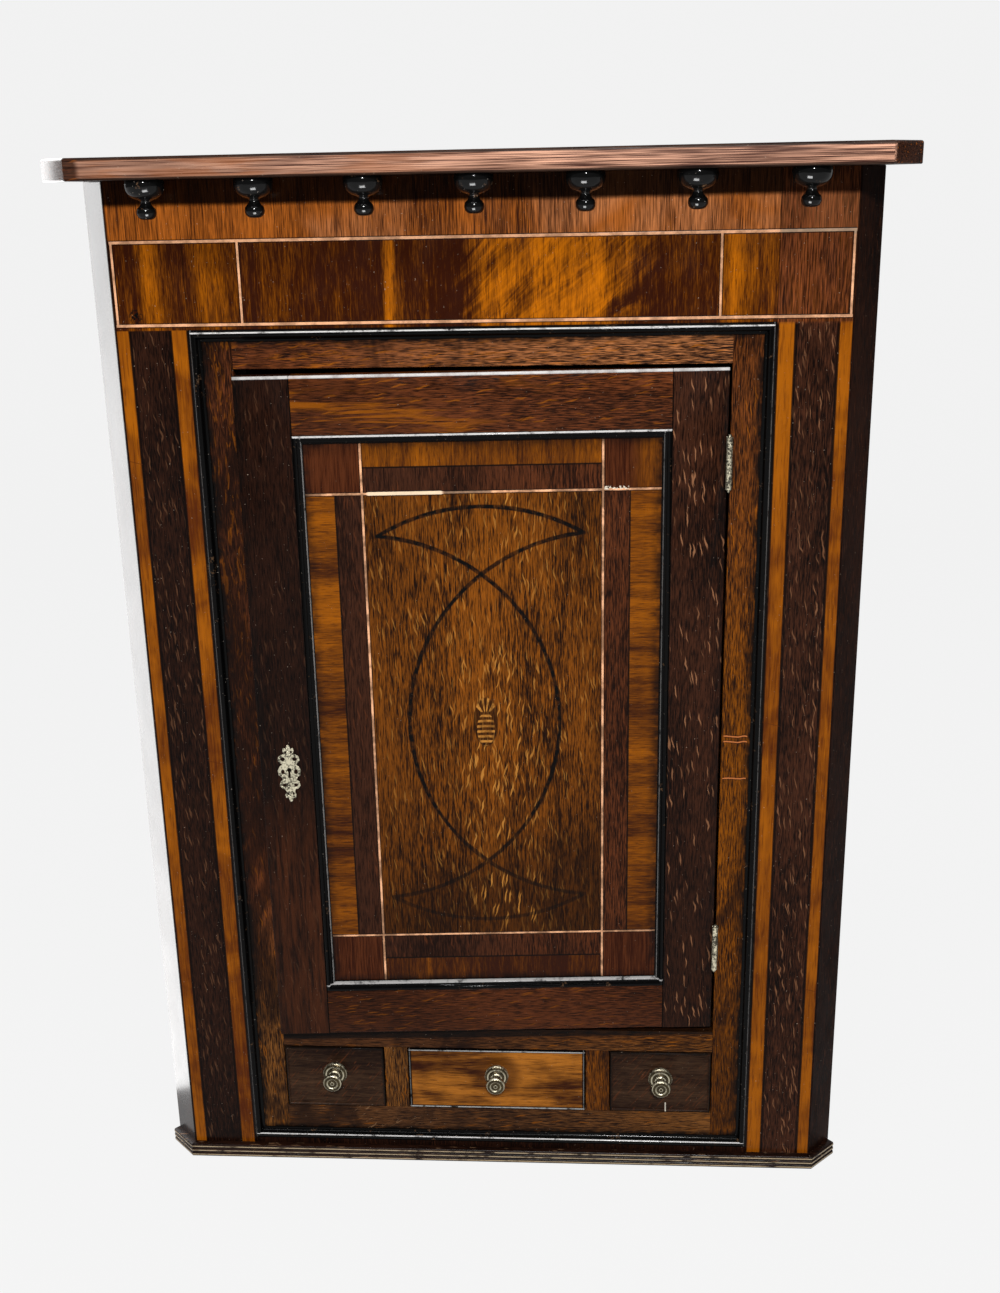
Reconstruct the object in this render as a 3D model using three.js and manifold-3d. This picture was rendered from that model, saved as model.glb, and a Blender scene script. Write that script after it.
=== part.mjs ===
import * as THREE from 'three';
import { mergeVertices } from 'three/addons/utils/BufferGeometryUtils.js';
import Module from 'manifold-3d';

const wasm = await Module();
wasm.setup();

// All sizes in millimetres. X runs right, Y runs back into the room corner, Z runs up.
// Y is measured from the plane of the front boards.

// Outside of the case
const case_height = 1090;
const front_half = 350;
const cant_run = 26;
const wall_reach = front_half + cant_run + cant_run;

// Boards
const front_board = 18;
const back_board = 10;
const rebate_lip = 6;
const groove_depth = 4;
const top_board_thick = 14;
const post_side = 35;

// Cornice and plinth
const cornice_thick = 20;
const cornice_overhang = 45;
const cornice_width = 65;
const cornice_run = 31.2;
const cornice_round = 2;
const cornice_round_low = 1.2;
const plinth_thick = 16;
const plinth_overhang = 7.5;
const plinth_reed = 2.6;

// Heights of the centre frame, upwards from the floor and downwards from the cornice
const board_top = case_height - cornice_thick;
const base_rail_top = 24;
const bottom_rail_width = 40;
const drawer_opening_height = 78;
const mid_rail_width = 26;
const top_rail_width = 38;
const frieze_height = 137;
const bottom_rail_top = base_rail_top + bottom_rail_width;
const drawer_opening_top = bottom_rail_top + drawer_opening_height;
const door_opening_low = drawer_opening_top + mid_rail_width;
const frieze_low = board_top - frieze_height;
const door_opening_high = frieze_low - top_rail_width;

// Widths of the centre frame
const pilaster_width = 71;
const frame_stile_width = 39.5;
const muntin_width = 26;
const middle_drawer_share = 0.4175;
const pilaster_inner = front_half - pilaster_width;
const opening_half = pilaster_inner - frame_stile_width;
const muntin_inner = opening_half * middle_drawer_share;
const frame_recess = 4;
const frame_thick = 20;
const stop_lip = 8;
const stop_thick = 9;
const stop_gap = 0.4;

// Ebonised bead round the centre frame
const bead_width = 11;
const bead_crest = 5;
const bead_round = 3.2;
const bead_inner_step = 1.2;

// Inside of the case
const bottom_board_thick = 12;
const deck_drop = 3;
const deck_thick = 12;
const shelf_thick = 13;
const shelf_shares = [0.2707, 0.5359];
const shelf_setback = 62;
const shelf_bow = 26;
const shelf_bow_share = 0.37;
const guide_height = 8;
const guide_width = 20;
const guide_setback = 56;
const deck_top = door_opening_low - deck_drop;
const shelf_levels = shelf_shares.map((share) => deck_top + share * (board_top - deck_top));
const shelf_bow_half = front_half * shelf_bow_share;

// Clearances
const fit_gap = 0.3;
const running_gap = 1;
const drawer_gap = 1;

// Door
const door_thick = 20;
const door_hinge_gap = 2;
const door_lock_gap = 4;
const door_top_gap = 4;
const door_bottom_gap = 7;
const door_low = door_opening_low + door_bottom_gap;
const door_high = door_opening_high - door_top_gap;
const door_stile_width = 53.5;
const door_top_rail_width = 57;
const door_bottom_rail_width = 52;
const panel_thick = 8;
const panel_recess = 8.5;
const panel_tongue = 5;
const door_moulding_width = 9;
const door_moulding_proud = 1.2;
const door_edge_round = 1.6;
const door_rest_deg = 3.4;
const tenon_length = 30;
const tenon_thick = 6;
const tenon_margin = 12;

// Hinges
const hinge_length = 51;
const hinge_from_bottom = 99;
const hinge_from_top = 91;
const hinge_levels = [door_low + hinge_from_bottom, door_high - hinge_from_top];
const hinge_axis_y = 0.7;
const knuckle_radius = 3.2;
const hinge_pin_radius = 1.3;
const hinge_bore_gap = 0.3;
const knuckle_count = 5;
const knuckle_gap = 0.35;
const hinge_leaf_thick = 1.6;
const hinge_leaf_width = 19;
const finial_height = 2.6;

// Lock and escutcheon
const lock_share = 0.433;
const key_inset = 29.5;
const lock_height = door_low + lock_share * (door_high - door_low);
const key_x = door_lock_gap - opening_half + key_inset;
const key_rise = 4;
const key_round = 2.4;
const key_slot_width = 2.2;
const key_slot_drop = 9;
const lock_case_width = 46;
const lock_case_height = 56;
const lock_case_thick = 11;
const lock_case_wall = 1.6;
const bolt_length = 24;
const bolt_height = 12;
const bolt_thick = 6;
const bolt_throw = 9;
const mortise_spare = 2;
const escutcheon_thick = 1.4;
const escutcheon_height = 64;
const escutcheon_width = 24;

// Drawers
const drawer_front_thick = 16;
const cockbead_width = 3;
const cockbead_proud = 2;
const drawer_side = 8;
const drawer_bottom = 5;
const drawer_rear_gap = 14;
const box_top_drop = 8;
const bottom_lift = 5;

// Knobs and pendants
const knob_radius = 13.5;
const knob_front_radius = 10.6;
const knob_projection = 23;
const knob_rise = 44;
const knob_level = bottom_rail_top + knob_rise;
const knob_x = (muntin_inner + muntin_width + opening_half) / 2;
const pendant_share = 0.2877;
const pendant_pitch = front_half * pendant_share;
const pendant_y = -23;
const pendant_drop = 35;
const pendant_radius = 18;

// Colours of the finishes
const finishes = {
  dark_oak: { color: 0x4a2f1e, roughness: 0.42, metalness: 0 },
  orange_oak: { color: 0x9a5a2c, roughness: 0.38, metalness: 0 },
  cornice_oak: { color: 0x8a5a45, roughness: 0.38, metalness: 0 },
  mahogany: { color: 0x6e3a1f, roughness: 0.32, metalness: 0 },
  golden_oak: { color: 0x8f6132, roughness: 0.32, metalness: 0 },
  ebonised: { color: 0x17120f, roughness: 0.22, metalness: 0 },
  carcase_pine: { color: 0x8c6a46, roughness: 0.7, metalness: 0 },
  brass: { color: 0xa38345, roughness: 0.34, metalness: 1 },
  pale_brass: { color: 0xbfae84, roughness: 0.3, metalness: 1 },
  lock_iron: { color: 0x3b3733, roughness: 0.5, metalness: 1 },
};
const materials = {};
for (const [name, look] of Object.entries(finishes)) {
  materials[name] = new THREE.MeshStandardMaterial({ name, ...look });
}

// Roundness of curved pieces
const quarter_steps = 6;
const knuckle_sides = 20;
const knob_sides = 32;
const pendant_sides = 28;

// Half a corner turn of the canted front, and the square corner
const cant_mitre = Math.tan(Math.PI / 8);
const root_half = Math.SQRT1_2;
const degree = Math.PI / 180;

const cupboard = new THREE.Group();
cupboard.name = 'corner_cupboard';
const case_group = new THREE.Group();
case_group.name = 'case';
case_group.position.y = (cornice_overhang - wall_reach) / 2;
cupboard.add(case_group);

// Turns a triangle list into a solid and flips it when its faces point inwards
function solid_of(positions, triangles) {
  const make = (list) => new wasm.Manifold(new wasm.Mesh({
    numProp: 3,
    vertProperties: new Float32Array(positions),
    triVerts: new Uint32Array(list),
  }));
  const first = make(triangles.flat());
  if (first.volume() > 0) return first;
  return make(triangles.map(([a, b, c]) => [a, c, b]).flat());
}

// Joins one outline through a row of placements, mitred where the placements slant
function loft(outline, places, ring = false) {
  const plan = outline.map(([a, b]) => new THREE.Vector2(a, b));
  if (THREE.ShapeUtils.area(plan) < 0) plan.reverse();
  const count = plan.length;
  const points = places.flatMap((place) => plan.flatMap((p) => place(p.x, p.y)));
  const spans = ring ? places.length : places.length - 1;
  const faces = [];
  for (let span = 0; span < spans; span += 1) {
    const near = span * count;
    const far = ((span + 1) % places.length) * count;
    plan.forEach((_, i) => {
      const next = (i + 1) % count;
      faces.push([near + i, near + next, far + next], [near + i, far + next, far + i]);
    });
  }
  if (!ring) {
    const last = spans * count;
    THREE.ShapeUtils.triangulateShape(plan, []).forEach(([a, b, c]) => {
      faces.push([a, c, b], [last + a, last + b, last + c]);
    });
  }
  return solid_of(points, faces);
}

// A board given by its outline in plan and its two levels
function board(outline, low, high) {
  return loft(outline, [low, high].map((z) => (x, y) => [x, y, z]));
}

// A plate given by its outline seen from the front and its two depths
function plate(outline, front, back) {
  return loft(outline, [front, back].map((y) => (x, z) => [x, y, z]));
}

// A squared block
function block(x, y, z) {
  const corners = [[x[0], y[0]], [x[1], y[0]], [x[1], y[1]], [x[0], y[1]]];
  return board(corners, z[0], z[1]);
}

// A turned piece about the vertical axis, its profile listed upwards
function turned(profile, sides) {
  const lathe = new THREE.LatheGeometry(profile.map(([r, h]) => new THREE.Vector2(r, h)), sides);
  lathe.deleteAttribute('normal');
  lathe.deleteAttribute('uv');
  lathe.rotateX(Math.PI / 2);
  return closed(lathe);
}

// A turned piece about the front-to-back axis, its profile listed backwards from the front
function turned_deep(profile, sides) {
  const lathe = new THREE.LatheGeometry(profile.map(([r, h]) => new THREE.Vector2(r, h)), sides);
  lathe.deleteAttribute('normal');
  lathe.deleteAttribute('uv');
  return closed(lathe);
}

function closed(geometry) {
  const merged = mergeVertices(geometry, fit_gap / 100);
  const list = Array.from(merged.index.array);
  const triangles = [];
  while (list.length) triangles.push(list.splice(0, 3));
  const flat = triangles.filter(([a, b, c]) => a !== b && b !== c && a !== c);
  return solid_of(merged.attributes.position.array, flat);
}

function joined(solids) {
  return solids.reduce((whole, next) => whole.add(next));
}

// Adds a named piece to a group
function piece(name, solid, finish, group = case_group, shift = [0, 0]) {
  const data = solid.getMesh();
  const geometry = new THREE.BufferGeometry();
  const positions = new Float32Array(data.numVert * 3);
  for (let i = 0; i < data.numVert; i += 1) {
    for (let k = 0; k < 3; k += 1) {
      positions[i * 3 + k] = data.vertProperties[i * data.numProp + k];
    }
  }
  geometry.setAttribute('position', new THREE.BufferAttribute(positions, 3));
  geometry.setIndex(new THREE.BufferAttribute(data.triVerts, 1));
  const flat = geometry.toNonIndexed();
  flat.computeVertexNormals();
  const mesh = new THREE.Mesh(flat, materials[finish]);
  mesh.name = name;
  mesh.position.set(shift[0], shift[1], 0);
  group.add(mesh);
  return mesh;
}

function mirrored(outline) {
  return outline.map(([x, y]) => [-x, y]);
}

// Points on an ellipse between two angles
function arc(centre, radii, from_deg, to_deg, steps) {
  const points = [];
  for (let i = 0; i <= steps; i += 1) {
    const angle = (from_deg + (to_deg - from_deg) * i / steps) * degree;
    points.push([centre[0] + radii[0] * Math.cos(angle), centre[1] + radii[1] * Math.sin(angle)]);
  }
  return points;
}

const sides = [['left', -1], ['right', 1]];

// Front boards: the wide pilaster boards, the frieze and the base rail
const inner_corner = front_half - cant_mitre * front_board;
const stile_plan = [
  [pilaster_inner, 0], [front_half, 0], [inner_corner, front_board], [pilaster_inner, front_board],
];
for (const [side, sign] of sides) {
  const plan = sign < 0 ? mirrored(stile_plan) : stile_plan;
  piece(`stile_${side}`, board(plan, 0, board_top), 'dark_oak');
}
const between = [-pilaster_inner, pilaster_inner];
piece('frieze_rail', block(between, [0, front_board], [frieze_low, board_top]), 'orange_oak');
piece('base_rail', block(between, [0, front_board], [0, base_rail_top]), 'dark_oak');

// Canted returns, rebated at the rear for the back boards
const cant_far = [front_half + cant_run, cant_run];
const lip = rebate_lip * root_half;
const seat = back_board * root_half;
const depth = front_board * root_half;
const lip_corner = [cant_far[0] - lip, cant_far[1] + lip];
const seat_corner = [lip_corner[0] - seat, lip_corner[1] - seat];
const inner_far = [cant_far[0] - depth - seat, cant_far[1] + depth - seat];
const return_plan = [
  [front_half, 0], cant_far, lip_corner, seat_corner, inner_far, [inner_corner, front_board],
];
for (const [side, sign] of sides) {
  const plan = sign < 0 ? mirrored(return_plan) : return_plan;
  piece(`return_${side}`, board(plan, 0, board_top), 'dark_oak');
}

// Corner post, set square to the walls
const back_inner = wall_reach - back_board * Math.SQRT2;
const post_reach = post_side * root_half;
function post_plan(grow) {
  const reach = post_reach + grow;
  const middle = back_inner - post_reach;
  return [[0, middle + reach], [reach, middle], [0, middle - reach], [-reach, middle]];
}
piece('corner_post', board(post_plan(-fit_gap), 0, board_top), 'carcase_pine');

// Plan of a board let into the back boards, its front edge given from left to right
function let_in_plan(front_edge, side_y) {
  const reach = back_inner + (groove_depth - fit_gap) * Math.SQRT2;
  const side_x = reach - side_y;
  return [...front_edge, [side_x, side_y], [0, reach], [-side_x, side_y]];
}

// Levels of everything that sits in a groove of the back boards
const grooved_levels = [
  [bottom_rail_top - bottom_board_thick, bottom_rail_top],
  [deck_top - deck_thick, deck_top],
  ...shelf_levels.map((level) => [level - shelf_thick, level]),
];

// Back boards, mitred together in the corner
const groove_side = back_inner + groove_depth * Math.SQRT2;
const back_gap = fit_gap * Math.SQRT2;
const board_end = lip_corner[0] - lip_corner[1] - back_gap;
const board_sums = [wall_reach, back_inner + back_gap];
const mitre_x = fit_gap / 2;
for (const [side, sign] of sides) {
  const plan = [
    [(board_sums[0] + board_end) / 2, (board_sums[0] - board_end) / 2],
    [mitre_x, board_sums[0] - mitre_x],
    [mitre_x, board_sums[1] - mitre_x],
    [(board_sums[1] + board_end) / 2, (board_sums[1] - board_end) / 2],
  ];
  const grooved = grooved_levels.reduce((whole, [low, high]) => {
    const groove = [[0, 0], [groove_side, 0], [0, groove_side]];
    const plane = sign < 0 ? mirrored(groove) : groove;
    return whole.subtract(board(plane, low - fit_gap, high + fit_gap));
  }, board(sign < 0 ? mirrored(plan) : plan, 0, board_top));
  piece(`back_board_${side}`, grooved, 'carcase_pine');
}

// Bottom board with its drawer guides, and the floor of the cupboard
const frame_back = frame_recess + frame_thick;
const inner_front = frame_back;
const side_front_y = inner_front + stop_thick + running_gap;
const post_hole = board(post_plan(fit_gap), 0, board_top);
function inner_board(front_edge, side_y, low, high) {
  return board(let_in_plan(front_edge, side_y), low, high).subtract(post_hole);
}
const straight_edge = [[-pilaster_inner, inner_front], [pilaster_inner, inner_front]];
const floor_side_y = side_front_y + running_gap;
const box_half = muntin_inner - drawer_gap - drawer_gap;
const slant = back_inner - drawer_rear_gap * Math.SQRT2;
const drawer_boards = [
  inner_board(straight_edge, floor_side_y, bottom_rail_top - bottom_board_thick, bottom_rail_top),
];
for (const [, sign] of sides) {
  const near = sign * (muntin_inner + (muntin_width - guide_width) / 2);
  const far = near + sign * guide_width;
  const across = [Math.min(near, far), Math.max(near, far)];
  const along = [inner_front, slant - box_half - guide_setback];
  drawer_boards.push(block(across, along, [bottom_rail_top, bottom_rail_top + guide_height]));
}
piece('bottom_board', joined(drawer_boards), 'carcase_pine');
const stop_back = frame_back + stop_gap + stop_thick + fit_gap;
const deck_edge = [[-opening_half, inner_front], [pilaster_inner, inner_front]];
const lip_corner_cut = block(
  [-pilaster_inner - running_gap, -opening_half + stop_lip + fit_gap],
  [0, stop_back],
  [0, board_top],
);
const deck = inner_board(deck_edge, floor_side_y, deck_top - deck_thick, deck_top);
piece('drawer_deck', deck.subtract(lip_corner_cut), 'carcase_pine');

// Shelves with a bowed centre
for (const [index, name] of ['shelf_lower', 'shelf_upper'].entries()) {
  const bow = arc([0, shelf_setback], [shelf_bow_half, -shelf_bow], 180, 0, quarter_steps * 3);
  const side_y = shelf_setback + shelf_bow / 2;
  const reach = back_inner + (groove_depth - fit_gap) * Math.SQRT2 - side_y;
  const edge = [[-reach + shelf_bow, shelf_setback], ...bow, [reach - shelf_bow, shelf_setback]];
  const level = shelf_levels[index];
  piece(name, inner_board(edge, side_y, level - shelf_thick, level), 'carcase_pine');
}

// Centre frame: rails, muntins and stiles behind the bead
const frame_y = [frame_recess, frame_back];
const frame_x = [-opening_half, opening_half];
piece('frame_top_rail', block(frame_x, frame_y, [door_opening_high, frieze_low]), 'mahogany');
piece('frame_mid_rail', block(frame_x, frame_y, [drawer_opening_top, door_opening_low]), 'mahogany');
piece('frame_bottom_rail', block(frame_x, frame_y, [base_rail_top, bottom_rail_top]), 'mahogany');
for (const [side, sign] of sides) {
  const edges = [sign * muntin_inner, sign * (muntin_inner + muntin_width)];
  const across = [Math.min(...edges), Math.max(...edges)];
  const muntin = block(across, frame_y, [bottom_rail_top, drawer_opening_top]);
  piece(`drawer_muntin_${side}`, muntin, 'mahogany');
}

// The left stile carries the door's stop lip and the bolt's mortise
const stop_front = frame_back + stop_gap;
const lip_levels = [door_opening_low, door_opening_high];
const left_stile = block([-pilaster_inner, -opening_half], frame_y, [base_rail_top, frieze_low]);
const stop_root = block(
  [-pilaster_inner + frame_thick, -opening_half],
  [frame_recess, stop_front + stop_thick],
  lip_levels,
);
const stop_strip = block(
  [-pilaster_inner + frame_thick, -opening_half + stop_lip],
  [stop_front, stop_front + stop_thick],
  lip_levels,
);
const lock_back = frame_recess + door_thick;
const bolt_y = lock_back - lock_case_thick / 2;
const mortise = block(
  [-opening_half - bolt_throw - mortise_spare, -opening_half + running_gap],
  [bolt_y - bolt_thick / 2 - running_gap, bolt_y + bolt_thick / 2 + running_gap],
  [lock_height - bolt_height / 2 - running_gap, lock_height + bolt_height / 2 + running_gap],
);
const left_frame_stile = joined([left_stile, stop_root, stop_strip]).subtract(mortise);
piece('frame_stile_left', left_frame_stile, 'mahogany');

// The right stile has a recess for each hinge leaf
const hinge_axis_x = opening_half - door_hinge_gap / 2;
const leaf_back = frame_recess + hinge_leaf_width;
function recess(x, level) {
  const half = hinge_length / 2 + fit_gap;
  return block(x, [0, leaf_back + fit_gap], [level - half, level + half]);
}
const frame_leaf_x = [opening_half, opening_half + hinge_leaf_thick];
const right_stile = hinge_levels.reduce(
  (whole, level) => whole.subtract(
    recess([opening_half - fit_gap, frame_leaf_x[1] + fit_gap], level),
  ),
  block([opening_half, pilaster_inner], frame_y, [base_rail_top, frieze_low]),
);
piece('frame_stile_right', right_stile, 'mahogany');

// Ebonised bead, its section given by the distance in from the pilaster and by depth
const bead_centre = bead_inner_step + bead_round;
const bead_profile = [
  [0, frame_recess],
  [0, -bead_crest + bead_round],
  ...arc([bead_centre, -bead_crest + bead_round], [bead_round, -bead_round], 180, 0, quarter_steps * 2),
  [bead_centre + bead_round, -bead_inner_step / 2],
  ...arc(
    [bead_width, -bead_inner_step / 2],
    [bead_width - bead_centre - bead_round, frame_recess - bead_inner_step],
    180, 90, quarter_steps,
  ),
  [bead_width, frame_recess],
];
function frame_side(corner_x, corner_z) {
  return (inset, y) => [
    corner_x - Math.sign(corner_x) * inset, y, corner_z[0] + corner_z[1] * inset,
  ];
}
const bead_low = [base_rail_top, 1];
const bead_high = [frieze_low, -1];
const bead_runs = {
  bead_bottom: [frame_side(-pilaster_inner, bead_low), frame_side(pilaster_inner, bead_low)],
  bead_top: [frame_side(-pilaster_inner, bead_high), frame_side(pilaster_inner, bead_high)],
  bead_left: [frame_side(-pilaster_inner, bead_low), frame_side(-pilaster_inner, bead_high)],
  bead_right: [frame_side(pilaster_inner, bead_low), frame_side(pilaster_inner, bead_high)],
};
for (const [name, run] of Object.entries(bead_runs)) {
  piece(name, loft(bead_profile, run), 'ebonised');
}

// A place on the canted plan for a section measured outwards from the boards
function at_corner(sign) {
  return (out, z) => [sign * (front_half + cant_mitre * out), -out, z];
}
function along_return(sign, run) {
  return (out, z) => [
    sign * (front_half + run + root_half * out), run - root_half * out, z,
  ];
}

// Cornice: flat strips with softened arrises, mitred at the canted corners
const cornice_profile = [
  [cornice_overhang - cornice_width, board_top],
  ...arc(
    [cornice_overhang - cornice_round_low, board_top + cornice_round_low],
    [cornice_round_low, cornice_round_low], -90, 0, quarter_steps / 2,
  ),
  ...arc(
    [cornice_overhang - cornice_round, case_height - cornice_round],
    [cornice_round, cornice_round], 0, 90, quarter_steps / 2,
  ),
  [cornice_overhang - cornice_width, case_height],
];
piece('cornice_front', loft(cornice_profile, [at_corner(-1), at_corner(1)]), 'cornice_oak');
const cornice_end = cornice_run + (cornice_overhang * cant_mitre - cornice_overhang * root_half);
for (const [side, sign] of sides) {
  const places = [at_corner(sign), along_return(sign, cornice_end)];
  piece(`cornice_return_${side}`, loft(cornice_profile, places), 'cornice_oak');
}

// Top board closing the case behind the cornice
const cornice_back = cornice_width - cornice_overhang;
const cornice_corner = front_half - cant_mitre * cornice_back;
const end_inner = [
  front_half + cornice_end - root_half * cornice_back, cornice_end + root_half * cornice_back,
];
const end_face = [front_half + cornice_end, cornice_end];
const top_plan = [
  [cornice_corner, cornice_back], end_inner, end_face, cant_far, [0, wall_reach],
];
const top_plan_left = mirrored(top_plan.slice(0, -1)).reverse();
const top_board = board([...top_plan, ...top_plan_left], board_top, board_top + top_board_thick);
piece('top_board', top_board, 'carcase_pine');

// Plinth: reeded moulding round the foot of the case
const reed_count = 3;
const reed_flat = plinth_thick - reed_count * plinth_reed * 2 + plinth_reed / 2;
const reed_base = plinth_overhang - plinth_reed / 2;
const plinth_profile = [[0, 0], [plinth_overhang, 0], [plinth_overhang, plinth_thick - reed_flat]];
plinth_profile.length = 2;
for (let i = 0; i < reed_count; i += 1) {
  const reed_half = plinth_thick / reed_count / 2;
  const centre = [reed_base, reed_half * (2 * i + 1)];
  const reed = arc(centre, [plinth_reed / 2, reed_half * 0.94], -90, 90, quarter_steps);
  plinth_profile.push(...reed);
}
plinth_profile.splice(1, 1);
plinth_profile.push([0, plinth_thick]);
piece('plinth_front', loft(plinth_profile, [at_corner(-1), at_corner(1)]), 'ebonised');
for (const [side, sign] of sides) {
  const places = [at_corner(sign), along_return(sign, cant_run)];
  piece(`plinth_return_${side}`, loft(plinth_profile, places), 'ebonised');
}

// Pendant drops under the cornice, as shares of the drop and of the radius
const pendant_shares = [
  [0, 0], [0.24, 0.02], [0.4, 0.09], [0.47, 0.19], [0.43, 0.3], [0.34, 0.38],
  [0.3, 0.41], [0.34, 0.45], [0.34, 0.5], [0.42, 0.56], [0.6, 0.68], [0.8, 0.78],
  [0.95, 0.86], [1, 0.9], [1, 0.96], [0.94, 1], [0, 1],
];
const pendant_profile = pendant_shares.map(([r, h]) => [
  r * pendant_radius, board_top - pendant_drop + h * pendant_drop,
]);
for (let i = 1; i <= 7; i += 1) {
  const x = (i - 4) * pendant_pitch;
  const drop = turned(pendant_profile, pendant_sides).translate([x, pendant_y, 0]);
  piece(`pendant_drop_${i}`, drop, 'ebonised');
}

// Door, drawn closed and then swung about its hinge axis
const door_group = new THREE.Group();
door_group.name = 'door';
door_group.position.set(hinge_axis_x, hinge_axis_y, 0);
door_group.rotation.z = door_rest_deg * degree;
case_group.add(door_group);
const door_shift = [-hinge_axis_x, -hinge_axis_y];

function door_piece(name, solid, finish) {
  piece(name, solid, finish, door_group, door_shift);
}

const door_left = -opening_half + door_lock_gap;
const door_right = opening_half - door_hinge_gap;
const door_front = frame_recess;
const door_back = door_front + door_thick;
const door_y = [door_front, door_back];
const lock_stile_x = [door_left, door_left + door_stile_width];
const hinge_stile_x = [door_right - door_stile_width, door_right];
const panel_x = [lock_stile_x[1], hinge_stile_x[0]];
const panel_z = [door_low + door_bottom_rail_width, door_high - door_top_rail_width];
const panel_y = [door_front + panel_recess, door_front + panel_recess + panel_thick];

// The groove that houses the panel, cut from all four frame members
const panel_groove = block(
  [panel_x[0] - panel_tongue - fit_gap, panel_x[1] + panel_tongue + fit_gap],
  [panel_y[0] - fit_gap, panel_y[1] + fit_gap],
  [panel_z[0] - panel_tongue - fit_gap, panel_z[1] + panel_tongue + fit_gap],
);

// Tenons of the rails and the mortises that take them
const tenon_y = [
  panel_y[0] + (panel_thick - tenon_thick) / 2, panel_y[1] - (panel_thick - tenon_thick) / 2,
];
const rail_levels = {
  door_top_rail: [panel_z[1], door_high],
  door_bottom_rail: [door_low, panel_z[0]],
};
function tenon(x, [low, high], grow) {
  return block(
    [x[0] - grow, x[1] + grow],
    [tenon_y[0] - grow, tenon_y[1] + grow],
    [low + tenon_margin - grow, high - tenon_margin + grow],
  );
}
const tenon_reach = [panel_x[0] - tenon_length, panel_x[1] + tenon_length];
const mortises = joined(Object.values(rail_levels).map((z) => tenon(tenon_reach, z, fit_gap)));

// Stile section with its front outer arris rounded over
function stile_section(x) {
  const outer = x[0] < 0 ? x[0] : x[1];
  const inner = x[0] < 0 ? x[1] : x[0];
  const inward = Math.sign(inner - outer);
  const round = arc(
    [outer + inward * door_edge_round, door_front + door_edge_round],
    [-inward * door_edge_round, -door_edge_round], 0, 90, quarter_steps / 2,
  );
  return [[outer, door_back], ...round, [inner, door_front], [inner, door_back]];
}

// Keyhole: a round eye over a slot
const key_level = lock_height + key_rise;
function keyhole(grow, front, back) {
  const eye = arc([key_x, key_level], [key_round + grow, key_round + grow], 0, 330, 11);
  const half = key_slot_width / 2 + grow;
  const slot = [
    [key_x - half, key_level], [key_x + half, key_level],
    [key_x + half, key_level - key_slot_drop - grow], [key_x - half, key_level - key_slot_drop - grow],
  ];
  return joined([plate(eye, front, back), plate(slot, front, back)]);
}

// Lock case let into the back of the lock stile
const case_x = [door_left + fit_gap, door_left + lock_case_width];
const case_y = [door_back - lock_case_thick, door_back - fit_gap];
const case_z = [lock_height - lock_case_height / 2, lock_height + lock_case_height / 2];
const case_recess = block(
  [door_left - running_gap, case_x[1] + fit_gap],
  [case_y[0] - fit_gap, door_back + running_gap],
  [case_z[0] - fit_gap, case_z[1] + fit_gap],
);
const lock_stile = board(stile_section(lock_stile_x), door_low, door_high)
  .subtract(panel_groove)
  .subtract(mortises)
  .subtract(case_recess)
  .subtract(keyhole(fit_gap, door_front - running_gap, door_back));
door_piece('door_lock_stile', lock_stile, 'mahogany');

// Hinge stile with a recess for each leaf
const door_leaf_x = [door_right - hinge_leaf_thick, door_right];
const hinge_stile = hinge_levels.reduce(
  (whole, level) => whole.subtract(
    recess([door_leaf_x[0] - fit_gap, door_right + fit_gap], level),
  ),
  board(stile_section(hinge_stile_x), door_low, door_high).subtract(panel_groove).subtract(mortises),
);
door_piece('door_hinge_stile', hinge_stile, 'mahogany');

// Rails with their tenons, the outer front arris rounded over
function rail_section(outer, inner) {
  const inward = Math.sign(inner - outer);
  const round = arc(
    [door_front + door_edge_round, outer + inward * door_edge_round],
    [-door_edge_round, -inward * door_edge_round], 90, 0, quarter_steps / 2,
  );
  return [[door_back, outer], ...round, [door_front, inner], [door_back, inner]];
}
const rail_x = [panel_x[0] + fit_gap, panel_x[1] - fit_gap];
for (const [name, levels] of Object.entries(rail_levels)) {
  const top = name === 'door_top_rail';
  const section = top ? rail_section(levels[1], levels[0]) : rail_section(levels[0], levels[1]);
  const rail = loft(section, rail_x.map((x) => (y, z) => [x, y, z])).subtract(panel_groove);
  const core = tenon([tenon_reach[0] + running_gap, tenon_reach[1] - running_gap], levels, 0);
  door_piece(name, joined([rail, core.subtract(panel_groove)]), 'mahogany');
}

// Panel
const panel = block(
  [panel_x[0] - panel_tongue, panel_x[1] + panel_tongue],
  panel_y,
  [panel_z[0] - panel_tongue, panel_z[1] + panel_tongue],
);
door_piece('door_panel', panel, 'golden_oak');

// Ebonised moulding planted round the panel: bead, ovolo and a small fillet
const moulding_front = door_front - door_moulding_proud;
const moulding_back = panel_y[0] - fit_gap;
const moulding_bead = door_moulding_width / 4.5;
const ovolo_width = door_moulding_width - 2 * moulding_bead - door_moulding_proud;
const moulding_profile = [
  [fit_gap, moulding_back],
  [fit_gap, moulding_front + moulding_bead],
  ...arc(
    [fit_gap + moulding_bead, moulding_front + moulding_bead],
    [moulding_bead, -moulding_bead], 180, 0, quarter_steps,
  ),
  ...arc(
    [fit_gap + 2 * moulding_bead, moulding_back - door_moulding_proud],
    [ovolo_width, -(moulding_back - door_moulding_proud - door_front - moulding_bead)],
    90, 0, quarter_steps,
  ),
  [door_moulding_width, moulding_back - door_moulding_proud],
  [door_moulding_width, moulding_back],
];
const moulding_corners = [
  [panel_x[0], panel_z[0], 1, 1], [panel_x[1], panel_z[0], -1, 1],
  [panel_x[1], panel_z[1], -1, -1], [panel_x[0], panel_z[1], 1, -1],
];
const moulding_places = moulding_corners.map(
  ([x, z, sx, sz]) => (inset, y) => [x + sx * inset, y, z + sz * inset],
);
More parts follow.
